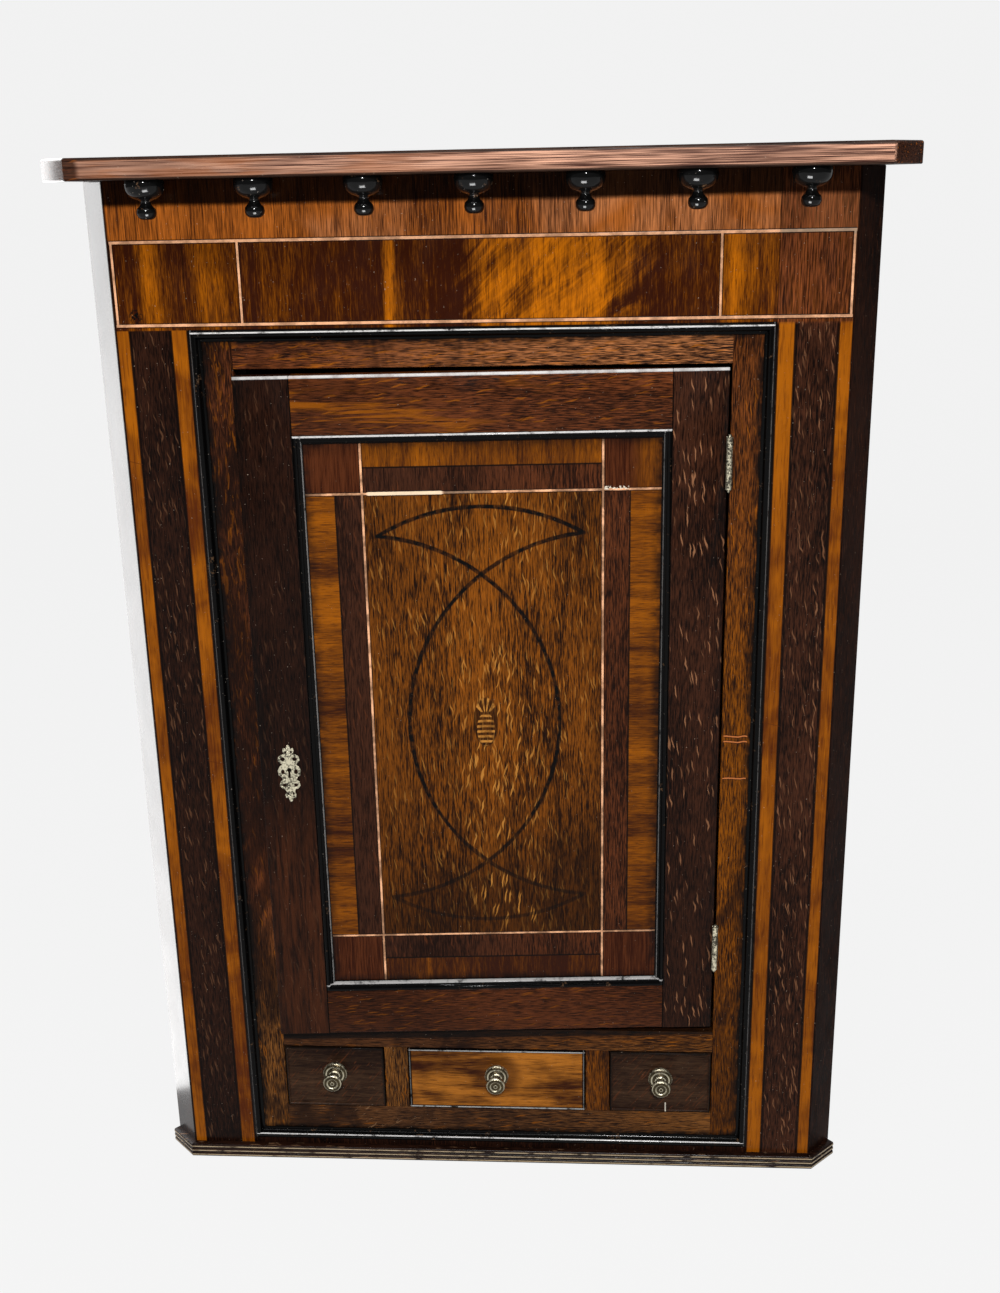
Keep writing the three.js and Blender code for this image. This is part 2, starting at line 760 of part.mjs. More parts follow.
door_piece('door_moulding', loft(moulding_profile, moulding_places, true), 'ebonised');

// Lock case with its bolt
const bolt_z = [lock_height - bolt_height / 2, lock_height + bolt_height / 2];
const bolt_y_range = [bolt_y - bolt_thick / 2, bolt_y + bolt_thick / 2];
const bolt_x = [case_x[0] + fit_gap / 2, case_x[0] + bolt_length];
const case_hollow = block(
  [case_x[0] - running_gap, case_x[1] - lock_case_wall],
  [bolt_y_range[0] - fit_gap, bolt_y_range[1] + fit_gap],
  [bolt_z[0] - fit_gap, bolt_z[1] + fit_gap],
);
const lock_case = block(case_x, case_y, case_z)
  .subtract(case_hollow)
  .subtract(keyhole(0, case_y[0] - running_gap, bolt_y));
door_piece('lock_case', lock_case, 'lock_iron');
door_piece('lock_bolt', block(bolt_x, bolt_y_range, bolt_z), 'pale_brass');

// Escutcheon: a pierced foliate plate, its half outline in shares of half width and half height
const escutcheon_shares = [
  [0, 1], [0.16, 0.93], [0.2, 0.84], [0.42, 0.9], [0.5, 0.78], [0.34, 0.68], [0.58, 0.66],
  [0.86, 0.6], [0.94, 0.46], [0.76, 0.38], [0.6, 0.32], [0.84, 0.24], [1, 0.1], [0.92, -0.06],
  [0.68, -0.12], [0.6, -0.22], [0.82, -0.28], [0.88, -0.42], [0.7, -0.52], [0.46, -0.54],
  [0.36, -0.64], [0.5, -0.74], [0.4, -0.86], [0.2, -0.84], [0.14, -0.94], [0, -1],
];
const half_w = escutcheon_width / 2;
const half_h = escutcheon_height / 2;
const right_edge = escutcheon_shares.map(([a, b]) => [key_x + a * half_w, lock_height + b * half_h]);
const left_edge = escutcheon_shares.slice(1, -1).reverse()
  .map(([a, b]) => [key_x - a * half_w, lock_height + b * half_h]);
const plate_front = door_front - fit_gap - escutcheon_thick;
const plate_back = door_front - fit_gap;
const piercing_shares = [
  [0.52, 0.5, 0.2, 0.07], [0.56, 0.06, 0.16, 0.09], [0.5, -0.4, 0.18, 0.06], [0.24, 0.74, 0.09, 0.05],
  [0.24, -0.7, 0.09, 0.05],
];
const piercings = piercing_shares.flatMap(([a, b, ra, rb]) => sides.map(([, sign]) => {
  const centre = [key_x + sign * a * half_w, lock_height + b * half_h];
  const hole = arc(centre, [ra * half_w, rb * half_h], 0, 324, 9);
  return plate(hole, plate_front - running_gap, plate_back + running_gap);
}));
const escutcheon = plate([...right_edge, ...left_edge], plate_front, plate_back)
  .subtract(joined(piercings))
  .subtract(keyhole(0, plate_front - running_gap, plate_back + running_gap));
door_piece('escutcheon', escutcheon, 'pale_brass');

// Butt hinges with interleaved knuckles
const knuckle_pitch = hinge_length / knuckle_count;
const post_disc = (radius, low, high) => board(
  arc([hinge_axis_x, hinge_axis_y], [radius, radius], 0, 360 - 360 / knuckle_sides, knuckle_sides - 1),
  low,
  high,
);
const bore_radius = hinge_pin_radius + hinge_bore_gap;
const hinge_names = ['hinge_lower', 'hinge_upper'];
for (const [index, name] of hinge_names.entries()) {
  const low = hinge_levels[index] - hinge_length / 2;
  const high = low + hinge_length;
  const knuckles = { frame: [], door: [] };
  for (let k = 0; k < knuckle_count; k += 1) {
    const start = low + k * knuckle_pitch + (k > 0 ? knuckle_gap / 2 : 0);
    const end = low + (k + 1) * knuckle_pitch - (k < knuckle_count - 1 ? knuckle_gap / 2 : 0);
    knuckles[k % 2 === 0 ? 'frame' : 'door'].push([start, end]);
  }
  const leaf_y = [hinge_axis_y, leaf_back];
  for (const [owner, x, other] of [['frame', frame_leaf_x, 'door'], ['door', door_leaf_x, 'frame']]) {
    const stop = knuckle_radius + fit_gap;
    const cut = knuckles[other].map(([from, to]) => block(
      [hinge_axis_x - stop, hinge_axis_x + stop],
      [hinge_axis_y - stop, frame_recess],
      [from - knuckle_gap, to + knuckle_gap],
    ));
    const leaf = joined(cut.reduce(
      (parts, cutter) => [parts[0].subtract(cutter)],
      [block(x, leaf_y, [low, high])],
    ));
    const barrels = knuckles[owner].map(([from, to]) => post_disc(knuckle_radius, from, to));
    let whole = joined([leaf, ...barrels]);
    if (owner === 'frame') {
      whole = whole.subtract(post_disc(bore_radius, low - running_gap, high + running_gap));
    } else {
      const pin = post_disc(hinge_pin_radius, low - finial_height, high + finial_height);
      whole = whole.add(pin);
    }
    if (owner === 'frame') piece(`${name}_frame_leaf`, whole, 'brass');
    else door_piece(`${name}_door_leaf`, whole, 'brass');
  }
}

// Drawers: a front with a cockbead, a box shaped to the case, and a turned knob
const drawer_z = [bottom_rail_top + drawer_gap, drawer_opening_top - drawer_gap];
const front_y = [frame_recess, frame_recess + drawer_front_thick];
const box_low = bottom_rail_top + fit_gap;
const box_high = drawer_z[1] - box_top_drop;
const box_front = front_y[1];
const side_inner = muntin_inner + muntin_width + drawer_gap;
const side_outer = opening_half - drawer_gap;

function drawer_front(x) {
  const inner = [x[0] + cockbead_width, x[1] - cockbead_width];
  const inner_z = [drawer_z[0] + cockbead_width, drawer_z[1] - cockbead_width];
  const body = block(x, front_y, drawer_z);
  const rim_round = cockbead_width / 2;
  const rim_profile = [
    [0, front_y[0] + rim_round],
    ...arc([rim_round, front_y[0]], [rim_round, -cockbead_proud], 180, 0, quarter_steps),
    [cockbead_width, front_y[0] + rim_round],
  ];
  const corners = [
    [x[0], drawer_z[0], 1, 1], [x[1], drawer_z[0], -1, 1],
    [x[1], drawer_z[1], -1, -1], [x[0], drawer_z[1], 1, -1],
  ];
  const places = corners.map(([cx, cz, sx, sz]) => (a, y) => [cx + sx * a, y, cz + sz * a]);
  const field = block(inner, [front_y[0] - running_gap, front_y[0]], inner_z);
  return joined([body, loft(rim_profile, places, true)]).subtract(field);
}

function drawer_box(outer_plan, inner_plan) {
  const shell = board(outer_plan, box_low, box_high);
  return shell.subtract(board(inner_plan, box_low + bottom_lift + drawer_bottom, case_height));
}

const knob_shares = [
  [0, 0], [0.5, 0], [0.86, 0.03], [0.98, 0.09], [1, 0.16], [0.92, 0.24], [0.62, 0.31],
];
const knob_neck_shares = [[0.4, 0.42], [0.36, 0.52], [0.42, 0.64], [0.72, 0.74], [1, 0.82], [1, 1], [0, 1]];
const ring_shares = [[0.22, 0.02], [0.26, 0.03], [0.56, 0.03], [0.62, 0]];
function knob(x) {
  const front = frame_recess - knob_projection;
  const face = [
    [0, front],
    ...ring_shares.map(([r, h]) => [r * knob_front_radius, front + h * knob_projection]),
    ...knob_shares.slice(2).map(([r, h]) => [r * knob_front_radius, front + h * knob_projection]),
  ];
  const neck = knob_neck_shares.slice(0, 4).map(([r, h]) => [
    r * knob_front_radius, front + h * knob_projection,
  ]);
  const base = knob_neck_shares.slice(4).map(([r, h]) => [
    r * knob_radius, front + h * knob_projection,
  ]);
  return turned_deep([...face, ...neck, ...base], knob_sides).translate([x, 0, knob_level]);
}

const middle_half = muntin_inner - drawer_gap;
const box_back = slant - box_half;
const middle_outer = [
  [-box_half, box_front], [box_half, box_front], [box_half, box_back], [-box_half, box_back],
];
const wall_in = box_half - drawer_side;
const middle_inner = [
  [-wall_in, box_front + drawer_side], [wall_in, box_front + drawer_side],
  [wall_in, box_back - drawer_side], [-wall_in, box_back - drawer_side],
];
piece('drawer_front_middle', drawer_front([-middle_half, middle_half]), 'orange_oak');
piece('drawer_box_middle', drawer_box(middle_outer, middle_inner), 'carcase_pine');
piece('drawer_knob_middle', knob(0), 'brass');

// The side boxes follow the slant of the back boards
for (const [side, sign] of sides) {
  const near = side_inner + drawer_gap;
  const far = side_outer - drawer_gap;
  const outer_back = slant - far;
  const inner_back = outer_back + far - near;
  const outer = [[near, box_front], [far, box_front], [far, outer_back], [near, inner_back]];
  const thin = drawer_side * Math.SQRT2;
  const box_sum = far + outer_back - thin;
  const inner = [
    [near + drawer_side, box_front + drawer_side], [far - drawer_side, box_front + drawer_side],
    [far - drawer_side, box_sum - far + drawer_side], [near + drawer_side, box_sum - near - drawer_side],
  ];
  const x = sign < 0 ? [-side_outer, -side_inner] : [side_inner, side_outer];
  const face = drawer_front(x);
  piece(`drawer_front_${side}`, face, 'mahogany');
  const [wall, hollow] = sign < 0 ? [mirrored(outer), mirrored(inner)] : [outer, inner];
  piece(`drawer_box_${side}`, drawer_box(wall, hollow), 'carcase_pine');
  piece(`drawer_knob_${side}`, knob(sign * knob_x), 'brass');
}

export default cupboard;
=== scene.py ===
import math
from functools import partial, wraps
from types import SimpleNamespace

import bmesh
import bpy
from bpy.props import FloatProperty, FloatVectorProperty, IntProperty, PointerProperty
from mathutils import Matrix, Vector


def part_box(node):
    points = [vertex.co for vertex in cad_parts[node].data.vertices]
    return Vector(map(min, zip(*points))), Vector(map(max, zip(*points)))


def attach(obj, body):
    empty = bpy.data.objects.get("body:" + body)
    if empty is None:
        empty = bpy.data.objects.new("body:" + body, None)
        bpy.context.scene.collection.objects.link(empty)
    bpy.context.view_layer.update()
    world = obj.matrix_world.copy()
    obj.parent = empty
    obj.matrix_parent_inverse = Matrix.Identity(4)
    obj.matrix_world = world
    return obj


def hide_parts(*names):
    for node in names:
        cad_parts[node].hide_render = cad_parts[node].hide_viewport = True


bl_info = {
    "name": "Corner cupboard",
    "version": (1, 0, 0),
    "blender": (4, 5, 0),
    "location": "3D View > Sidebar > Cupboard",
    "description": "Dresses the boards of a canted corner cupboard and models its turned and "
                   "moulded pieces",
    "category": "Object",
}

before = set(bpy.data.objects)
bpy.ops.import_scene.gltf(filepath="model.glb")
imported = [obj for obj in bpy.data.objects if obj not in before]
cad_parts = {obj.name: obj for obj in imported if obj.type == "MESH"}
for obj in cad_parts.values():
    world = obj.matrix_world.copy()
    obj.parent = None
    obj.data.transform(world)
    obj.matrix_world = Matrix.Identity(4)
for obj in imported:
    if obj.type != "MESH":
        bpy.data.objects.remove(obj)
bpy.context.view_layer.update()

# The frame's plan is centred, so the plane of the front boards lies this far forward.
FRONT_PLANE = -0.1785
HALF_FRONT = 0.35
CORNICE_LOW, CORNICE_HIGH = 1.07, 1.09
CORNICE_OUT = 0.045
REEDS, PLINTH_HIGH = 3, 0.016

# The closed door: its outside, its panel and the place of the inlays in it.
HINGE_AXIS = Vector((0.2385, 0.0007 + FRONT_PLANE, 0.0))
DOOR_SWING = math.radians(3.4)
DOOR_PLACE = Matrix.Translation(HINGE_AXIS) @ Matrix.Rotation(DOOR_SWING, 4, "Z") \
    @ Matrix.Translation(-HINGE_AXIS)
DOOR_LOW, DOOR_HIGH = Vector((-0.2355, 0.004 + FRONT_PLANE, 0.175)), Vector((0.2375, 0, 0.891))
PANEL_LOW, PANEL_HIGH, PANEL_SIDE = 0.2355, 0.8255, 0.1745
STRING_LOW, STRING_HIGH, STRING_SIDE = 0.2904, 0.7746, 0.118
BORDER_LOW, BORDER_HIGH, BORDER_SIDE = 0.2625, 0.8005, 0.1445

# The inlays of the front boards, as heights or as distances from the middle.
FRIEZE_STRINGS = (0.9378, 1.0146)
FRIEZE_UPRIGHTS = (0.226, 0.3466)
VENEER_LOW = 0.933
PILASTER_BANDS = ((0.3367, 0.3488), (0.2805, 0.2959))
PILASTER_SEAMS = (0.3360, 0.2966, 0.2797)

# The opening inside the bead, which the centre frame fills.
FRAME_SIDE, FRAME_LOW, FRAME_HIGH = 0.2685, 0.035, 0.922

SIDES = (("left", -1), ("right", 1))
DRAWERS = ("left", "middle", "right")
DROPS = range(1, 8)
ROOT_HALF = math.sqrt(0.5)
MERGE_DISTANCE = 1e-6


def shade(red, green, blue):
    """A colour as seen on a screen, 0 to 255, turned into scene-linear values."""
    def linear(value):
        value /= 255
        return value / 12.92 if value <= 0.04045 else ((value + 0.055) / 1.055) ** 2.4
    return tuple(linear(v) for v in (red, green, blue))


def scaled(colour_in, share):
    return tuple(v * share for v in colour_in)


def length(name, description, default):
    return FloatProperty(name=name, description=description, default=default, min=0.0,
                         unit="LENGTH", subtype="DISTANCE", precision=4)


def colour(name, description, *screen):
    return FloatVectorProperty(name=name, description=description, default=shade(*screen),
                               subtype="COLOR", size=3, min=0.0, max=1.0)


class CupboardSizes(bpy.types.PropertyGroup):
    """Sizes that a maker of the cupboard would change."""
    arris: length("Arris", "Softened edge of every plain board", 0.0006)
    cornice_round: length("Cornice round", "Rounding of the cornice's edges", 0.0028)
    cornice_end_round: length("Cornice end", "Rounding of the cornice's far corners", 0.009)
    door_round: length("Door round", "Rounding of the door's outer arrises", 0.0028)
    string_width: length("String", "Width of the pale strings", 0.0021)
    ebony_width: length("Ebony line", "Width of the inlaid ebony arcs", 0.0045)
    arc_radius: length("Arc radius", "Radius of the inlaid arcs", 0.199)
    arc_shift: length("Arc shift", "Distance of the arcs' centres from the middle", 0.122)
    turning_steps: IntProperty(name="Turning steps", description="Sides of a turned piece",
                               default=64, min=16, max=128)


class CupboardColours(bpy.types.PropertyGroup):
    """Colours of the woods, the polish and the metal."""
    oak_deep: colour("Oak, deep", "Darkest tone of the dark oak", 9, 4, 3)
    oak_dark: colour("Oak, dark", "Main tone of the dark oak", 48, 25, 15)
    oak_fleck: colour("Oak fleck", "Medullary flecks in the dark oak", 132, 90, 62)
    band: colour("Band", "Orange banding of the pilasters", 146, 80, 8)
    band_deep: colour("Band, deep", "Shaded tone of the orange banding", 72, 30, 6)
    frieze: colour("Frieze", "Orange-brown oak of the upper frieze", 142, 76, 22)
    frieze_deep: colour("Frieze, deep", "Pores and shade of the upper frieze", 44, 18, 8)
    flame: colour("Flame", "Golden streaks in the mahogany", 178, 98, 6)
    flame_deep: colour("Flame, deep", "Dark ground of the mahogany", 42, 14, 4)
    string: colour("String", "Pale inlaid strings", 234, 174, 132)
    field: colour("Field", "Golden oak of the door's panel", 130, 71, 14)
    field_deep: colour("Field, deep", "Shaded oak of the door's panel", 22, 9, 4)
    curl: colour("Curl", "Bright curly rays of the door's panel", 182, 122, 52)
    rail: colour("Rail", "Light tone of the frame and door rails", 100, 52, 26)
    rail_deep: colour("Rail, deep", "Dark tone of the frame and door rails", 22, 9, 5)
    stile: colour("Stile", "Light tone of the door's stiles", 66, 36, 22)
    cornice: colour("Cornice", "Pinkish oak of the cornice", 184, 138, 114)
    cornice_deep: colour("Cornice, deep", "Dark streaks of the cornice", 60, 34, 28)
    ebony: colour("Ebony", "Ebonised mouldings and drops", 6, 6, 6)
    # Not a colour of the wood: the pale tone of the painted highlights on the ebony crests, the
    # door's top arris and the cockbead.
    rubbed: colour("Rubbed edge", "Grey bloom on the crests of the ebonised mouldings",
                   190, 188, 186)
    worn: colour("Worn edge", "Timber showing through a rubbed edge", 118, 88, 62)
    pine: colour("Pine", "Bare pine of the inside", 134, 100, 66)
    pine_deep: colour("Pine, deep", "Dark grain of the bare pine", 82, 56, 34)
    brass: colour("Brass", "Aged brass of the knobs", 120, 106, 78)
    brass_pale: colour("Brass, rubbed", "Rubbed brass of the escutcheon, hinges and bolt",
                       226, 218, 190)
    tarnish: colour("Tarnish", "Dirt in the hollows of the brass", 26, 21, 14)
    floor: colour("Floor", "Pale floor and backdrop", 250, 250, 250)


def sizes():
    return bpy.context.scene.cupboard_sizes


def colours():
    return bpy.context.scene.cupboard_colours


# Drawing of node trees

class Value:
    """A node's output, so that masks and tones read as sums. a | b is the larger of the two."""

    def __init__(self, socket):
        self.socket = socket

    def __add__(self, other):
        return calc("ADD", self, other)

    def __sub__(self, other):
        return calc("SUBTRACT", self, other)

    def __rsub__(self, other):
        return calc("SUBTRACT", other, self)

    def __mul__(self, other):
        return calc("MULTIPLY", self, other)

    def __truediv__(self, other):
        return calc("DIVIDE", self, other)

    def __or__(self, other):
        return calc("MAXIMUM", self, other)

    def __abs__(self):
        return calc("ABSOLUTE", self)

    __radd__ = __add__
    __rmul__ = __mul__


def feed(socket, value):
    if isinstance(value, Value):
        socket.id_data.links.new(value.socket, socket)
    elif socket.type == "RGBA":
        socket.default_value = (*value, 1.0)
    else:
        socket.default_value = value


def node(kind, inputs, **settings):
    """Places a node in the tree of the first Value among its inputs, and feeds it."""
    tree = next(v.socket.id_data for v in inputs.values() if isinstance(v, Value))
    made = tree.nodes.new("ShaderNode" + kind)
    for name, setting in settings.items():
        setattr(made, name, setting)
    for key, value in inputs.items():
        feed(made.inputs[key], value)
    return made


def calc(operation, *terms, clamp=False):
    made = node("Math", dict(enumerate(terms)), operation=operation, use_clamp=clamp)
    return Value(made.outputs[0])


def ramp(value, low, high):
    """0 below low and 1 above high, with a smooth step between."""
    made = node("MapRange", {"Value": value, "From Min": low, "From Max": high},
                interpolation_type="SMOOTHSTEP")
    return Value(made.outputs["Result"])


def between(value, low, high, soft=0.0003):
    return ramp(value, low - soft, low + soft) * ramp(value, high + soft, high - soft)


def mixed(factor, under, over):
    return Value(node("Mix", {0: factor, 6: under, 7: over}, data_type="RGBA").outputs[2])


def stretched(vector, scale, shift=(0.0, 0.0, 0.0)):
    made = node("VectorMath", {0: vector, 1: scale, 2: shift}, operation="MULTIPLY_ADD")
    return Value(made.outputs[0])


def noise(vector, scale, detail=2.0, roughness=0.5, bend=0.0):
    """Scale is one number, or one for each axis."""
    if not isinstance(scale, tuple):
        scale = (scale,) * 3
    made = node("TexNoise", {"Vector": stretched(vector, scale), "Scale": 1.0, "Detail": detail,
                             "Roughness": roughness, "Distortion": bend})
    return Value(made.outputs[0])


def axes_of(vector):
    return [Value(out) for out in node("SeparateXYZ", {0: vector}).outputs]


def turned_place(place, turn=(0.0, 0.0, 0.0), move=(0.0, 0.0, 0.0)):
    made = node("Mapping", {"Vector": place, "Rotation": turn, "Location": move})
    return Value(made.outputs[0])


def closed_door_place(place):
    """Turns the swung door's coordinates back into those of the closed door."""
    unturn = Matrix.Rotation(-DOOR_SWING, 3, "Z")
    return turned_place(place, (0.0, 0.0, -DOOR_SWING), HINGE_AXIS - unturn @ HINGE_AXIS)


def lying(place):
    """Turns the grain from upright to level."""
    return turned_place(place, (0.0, math.radians(90), 0.0))


def distance_to(x, z, centre_x, centre_z):
    dx, dz = x - centre_x, z - centre_z
    return calc("SQRT", dx * dx + dz * dz)


def effect(name, **inputs):
    """Makes a drawing function a shader node group, drawn once and placed by each call.

    inputs holds the defaults: None for a vector and three numbers for a colour. The function
    gets its inputs as Values and returns its outputs by name."""
    def label(key):
        return key.replace("_", " ").capitalize()

    def make_group(draw):
        tree = bpy.data.node_groups.new(name, "ShaderNodeTree")
        for key, default in inputs.items():
            kind = "Vector" if default is None else "Float"
            if isinstance(default, tuple):
                kind, default = "Color", (*default, 1.0)
            socket = tree.interface.new_socket(label(key), in_out="INPUT",
                                               socket_type="NodeSocket" + kind)
            if default is not None:
                socket.default_value = default
        entry = tree.nodes.new("NodeGroupInput")
        made = draw(**{key: Value(entry.outputs[label(key)]) for key in inputs})
        for key in made:
            kind = "Color" if key == "colour" else "Float"
            tree.interface.new_socket(label(key), in_out="OUTPUT",
                                      socket_type="NodeSocket" + kind)
        end = tree.nodes.new("NodeGroupOutput")
        for key, value in made.items():
            feed(end.inputs[label(key)], value)
        return tree

    def wrap(draw):
        @wraps(draw)
        def placed(**values):
            tree = bpy.data.node_groups.get(name) or make_group(draw)
            made = node("Group", {label(key): value for key, value in values.items()},
                        node_tree=tree)
            return SimpleNamespace(**{out.name.lower(): Value(out) for out in made.outputs})
        return placed
    return wrap


# Effects shared by the materials

@effect("Ray flecks", position=None, width=0.31)
def ray_flecks(position, width):
    """Thin curling rays of quartered oak: long drops around scattered points."""
    slanted = turned_place(position, (0.0, 0.13, 0.0))
    sway = (noise(slanted, (120, 120, 80), 1) - 0.5) * 0.006
    cells = node("TexVoronoi", {
        "Scale": 1.0,
        "Vector": stretched(stretched(sway, (1, 0, 0), slanted), (350, 350, 34))})
    line = ramp(Value(cells.outputs["Distance"]), width, width * 0.5)
    return {"mask": line * ramp(Value(cells.outputs["Color"]), 0.34, 0.44)}


@effect("Quartered oak", position=None, deep=(0.02, 0.01, 0.01), main=(0.1, 0.05, 0.03),
        fleck=(0.2, 0.1, 0.05), light=1.0, flecks=1.0, pores=1.0, grain=1.0)
def quartered_oak(position, deep, main, fleck, light, flecks, pores, grain):
    """Oak with its grain along Z: drifting tone, fibres, fine lines and slanted ray flecks."""
    drift = noise(position, (20, 20, 4), 3, 0.55, 0.6)
    fibre = noise(position, (980, 980, 62), 2, 0.6, 0.4)
    fine = noise(position, (2100, 2100, 130), 1)
    patch = noise(position, (26, 26, 11))
    tone = (fibre * 2.4 + fine * 1.2 - 1.8) * grain + drift * 1.2 - 0.16
    wood = mixed(ramp(tone, 0.0, 1.0) * light, deep, main)
    rays = ray_flecks(position=position).mask * ramp(patch, 0.3, 0.5) * flecks
    wood = mixed(rays, wood, fleck)
    pore = ramp(fibre, 0.38, 0.31) * pores
    return {"colour": mixed(pore, wood, deep), "height": rays * 0.3 + pore * -0.8 + fine * 0.5}


@effect("Flame mahogany", position=None, deep=(0.02, 0.01, 0.01), main=(0.2, 0.1, 0.03),
        light=1.0, glow=0.0)
def flame_mahogany(position, deep, main, light, glow):
    """Mahogany with its grain along Z; glow adds golden figure to the dark ground."""
    streaks = noise(position, (30, 30, 3.6), 3, 0.5, 0.9)
    narrow = noise(position, (210, 210, 14), 3, 0.6, 0.5)
    fibre = noise(position, (950, 950, 80), 2, 0.55, 0.5)
    tone = streaks * 0.8 + narrow * 0.6 + fibre * 0.8 + glow - 0.9
    wood = mixed(ramp(tone, -0.1, 1.0) * light, deep, main)
    pore = ramp(fibre, 0.42, 0.34) * 0.35
    return {"colour": mixed(pore, wood, deep), "height": pore * -0.6 + narrow * 0.3}


@effect("Inlaid line", along=0.0, centre=0.0, width=0.002)
def inlaid_line(along, centre, width):
    """A straight inlaid line: its own mask, and a dark glue line on either side."""
    off, half, soft = abs(along - centre), width * 0.5, 0.0002
    line = ramp(off, half + soft, half - soft)
    wide = ramp(off, half + 0.0013, half + 0.0004)
    return {"line": line, "glue": calc("SUBTRACT", wide, line, clamp=True)}


@effect("Old polish", position=None, roughness=0.3, dust=0.6)
def old_polish(position, roughness, dust):
    """Rubbed shellac: uneven sheen, faint dents, and small specks of dust."""
    smear = noise(position, (34, 34, 20), 4, 0.6, 0.4)
    dents = noise(position, (210, 210, 130), 3, 0.55)
    specks = ramp(noise(position, 620, 1, 0.4), 0.778, 0.8) * dust
    sheen = calc("ADD", roughness * (0.2 + smear * 1.6), specks * 0.5, clamp=True)
    return {"roughness": sheen, "height": smear * 0.5 + dents * 0.5, "specks": specks}


@effect("Edge darkening", position=None, along=0.0, low=0.0, high=1.0, reach=0.01)
def edge_darkening(position, along, low, high, reach):
    """Darkening towards the two ends of a range, broken by noise."""
    ends = ramp(along, low + reach, low) | ramp(along, high - reach, high)
    return {"mask": ends * ramp(noise(position, 60, 3, 0.6), 0.25, 0.6)}


# Materials

def material(name, draw, coat_roughness=0.12, specular=0.06):
    """A polished material. draw gets the place and returns colour, roughness, height and more."""
    made = bpy.data.materials.get(name)
    if made is not None:
        return made
    made = bpy.data.materials.new(name)
    made.use_nodes = True
    tree = made.node_tree
    tree.nodes.clear()
    shader = tree.nodes.new("ShaderNodeBsdfPrincipled")
    out = tree.nodes.new("ShaderNodeOutputMaterial")
    tree.links.new(shader.outputs[0], out.inputs[0])
    shader.inputs["Coat Roughness"].default_value = coat_roughness
    shader.inputs["Specular IOR Level"].default_value = specular
    finish = draw(Value(tree.nodes.new("ShaderNodeTexCoord").outputs["Object"]))
    for key, socket in (("colour", "Base Color"), ("roughness", "Roughness"),
                        ("metallic", "Metallic"), ("coat", "Coat Weight")):
        if key in finish:
            feed(shader.inputs[socket], finish[key])
    bump = node("Bump", {"Strength": finish["strength"], "Distance": 0.0004,
                         "Height": finish["height"]})
    tree.links.new(bump.outputs[0], shader.inputs["Normal"])
    return made


def polished(place, wood, height, roughness=0.26, dust=0.5):
    """Lays old polish over a colour."""
    polish = old_polish(position=place, roughness=roughness, dust=dust)
    return {"colour": mixed(polish.specks * 0.8, wood, shade(190, 170, 150)),
            "roughness": polish.roughness, "height": height + polish.height * 0.6,
            "strength": 0.25}


def stripe(along, centre, width):
    return inlaid_line(along=along, centre=centre, width=width).line


def darkened_towards_edges(wood, share, place, along, low, high, reach):
    """Blackens a colour towards the ends of a range."""
    darkening_mask = edge_darkening(position=place, along=along, low=low, high=high, reach=reach)
    return mixed(darkening_mask.mask * share, wood, colours().ebony)


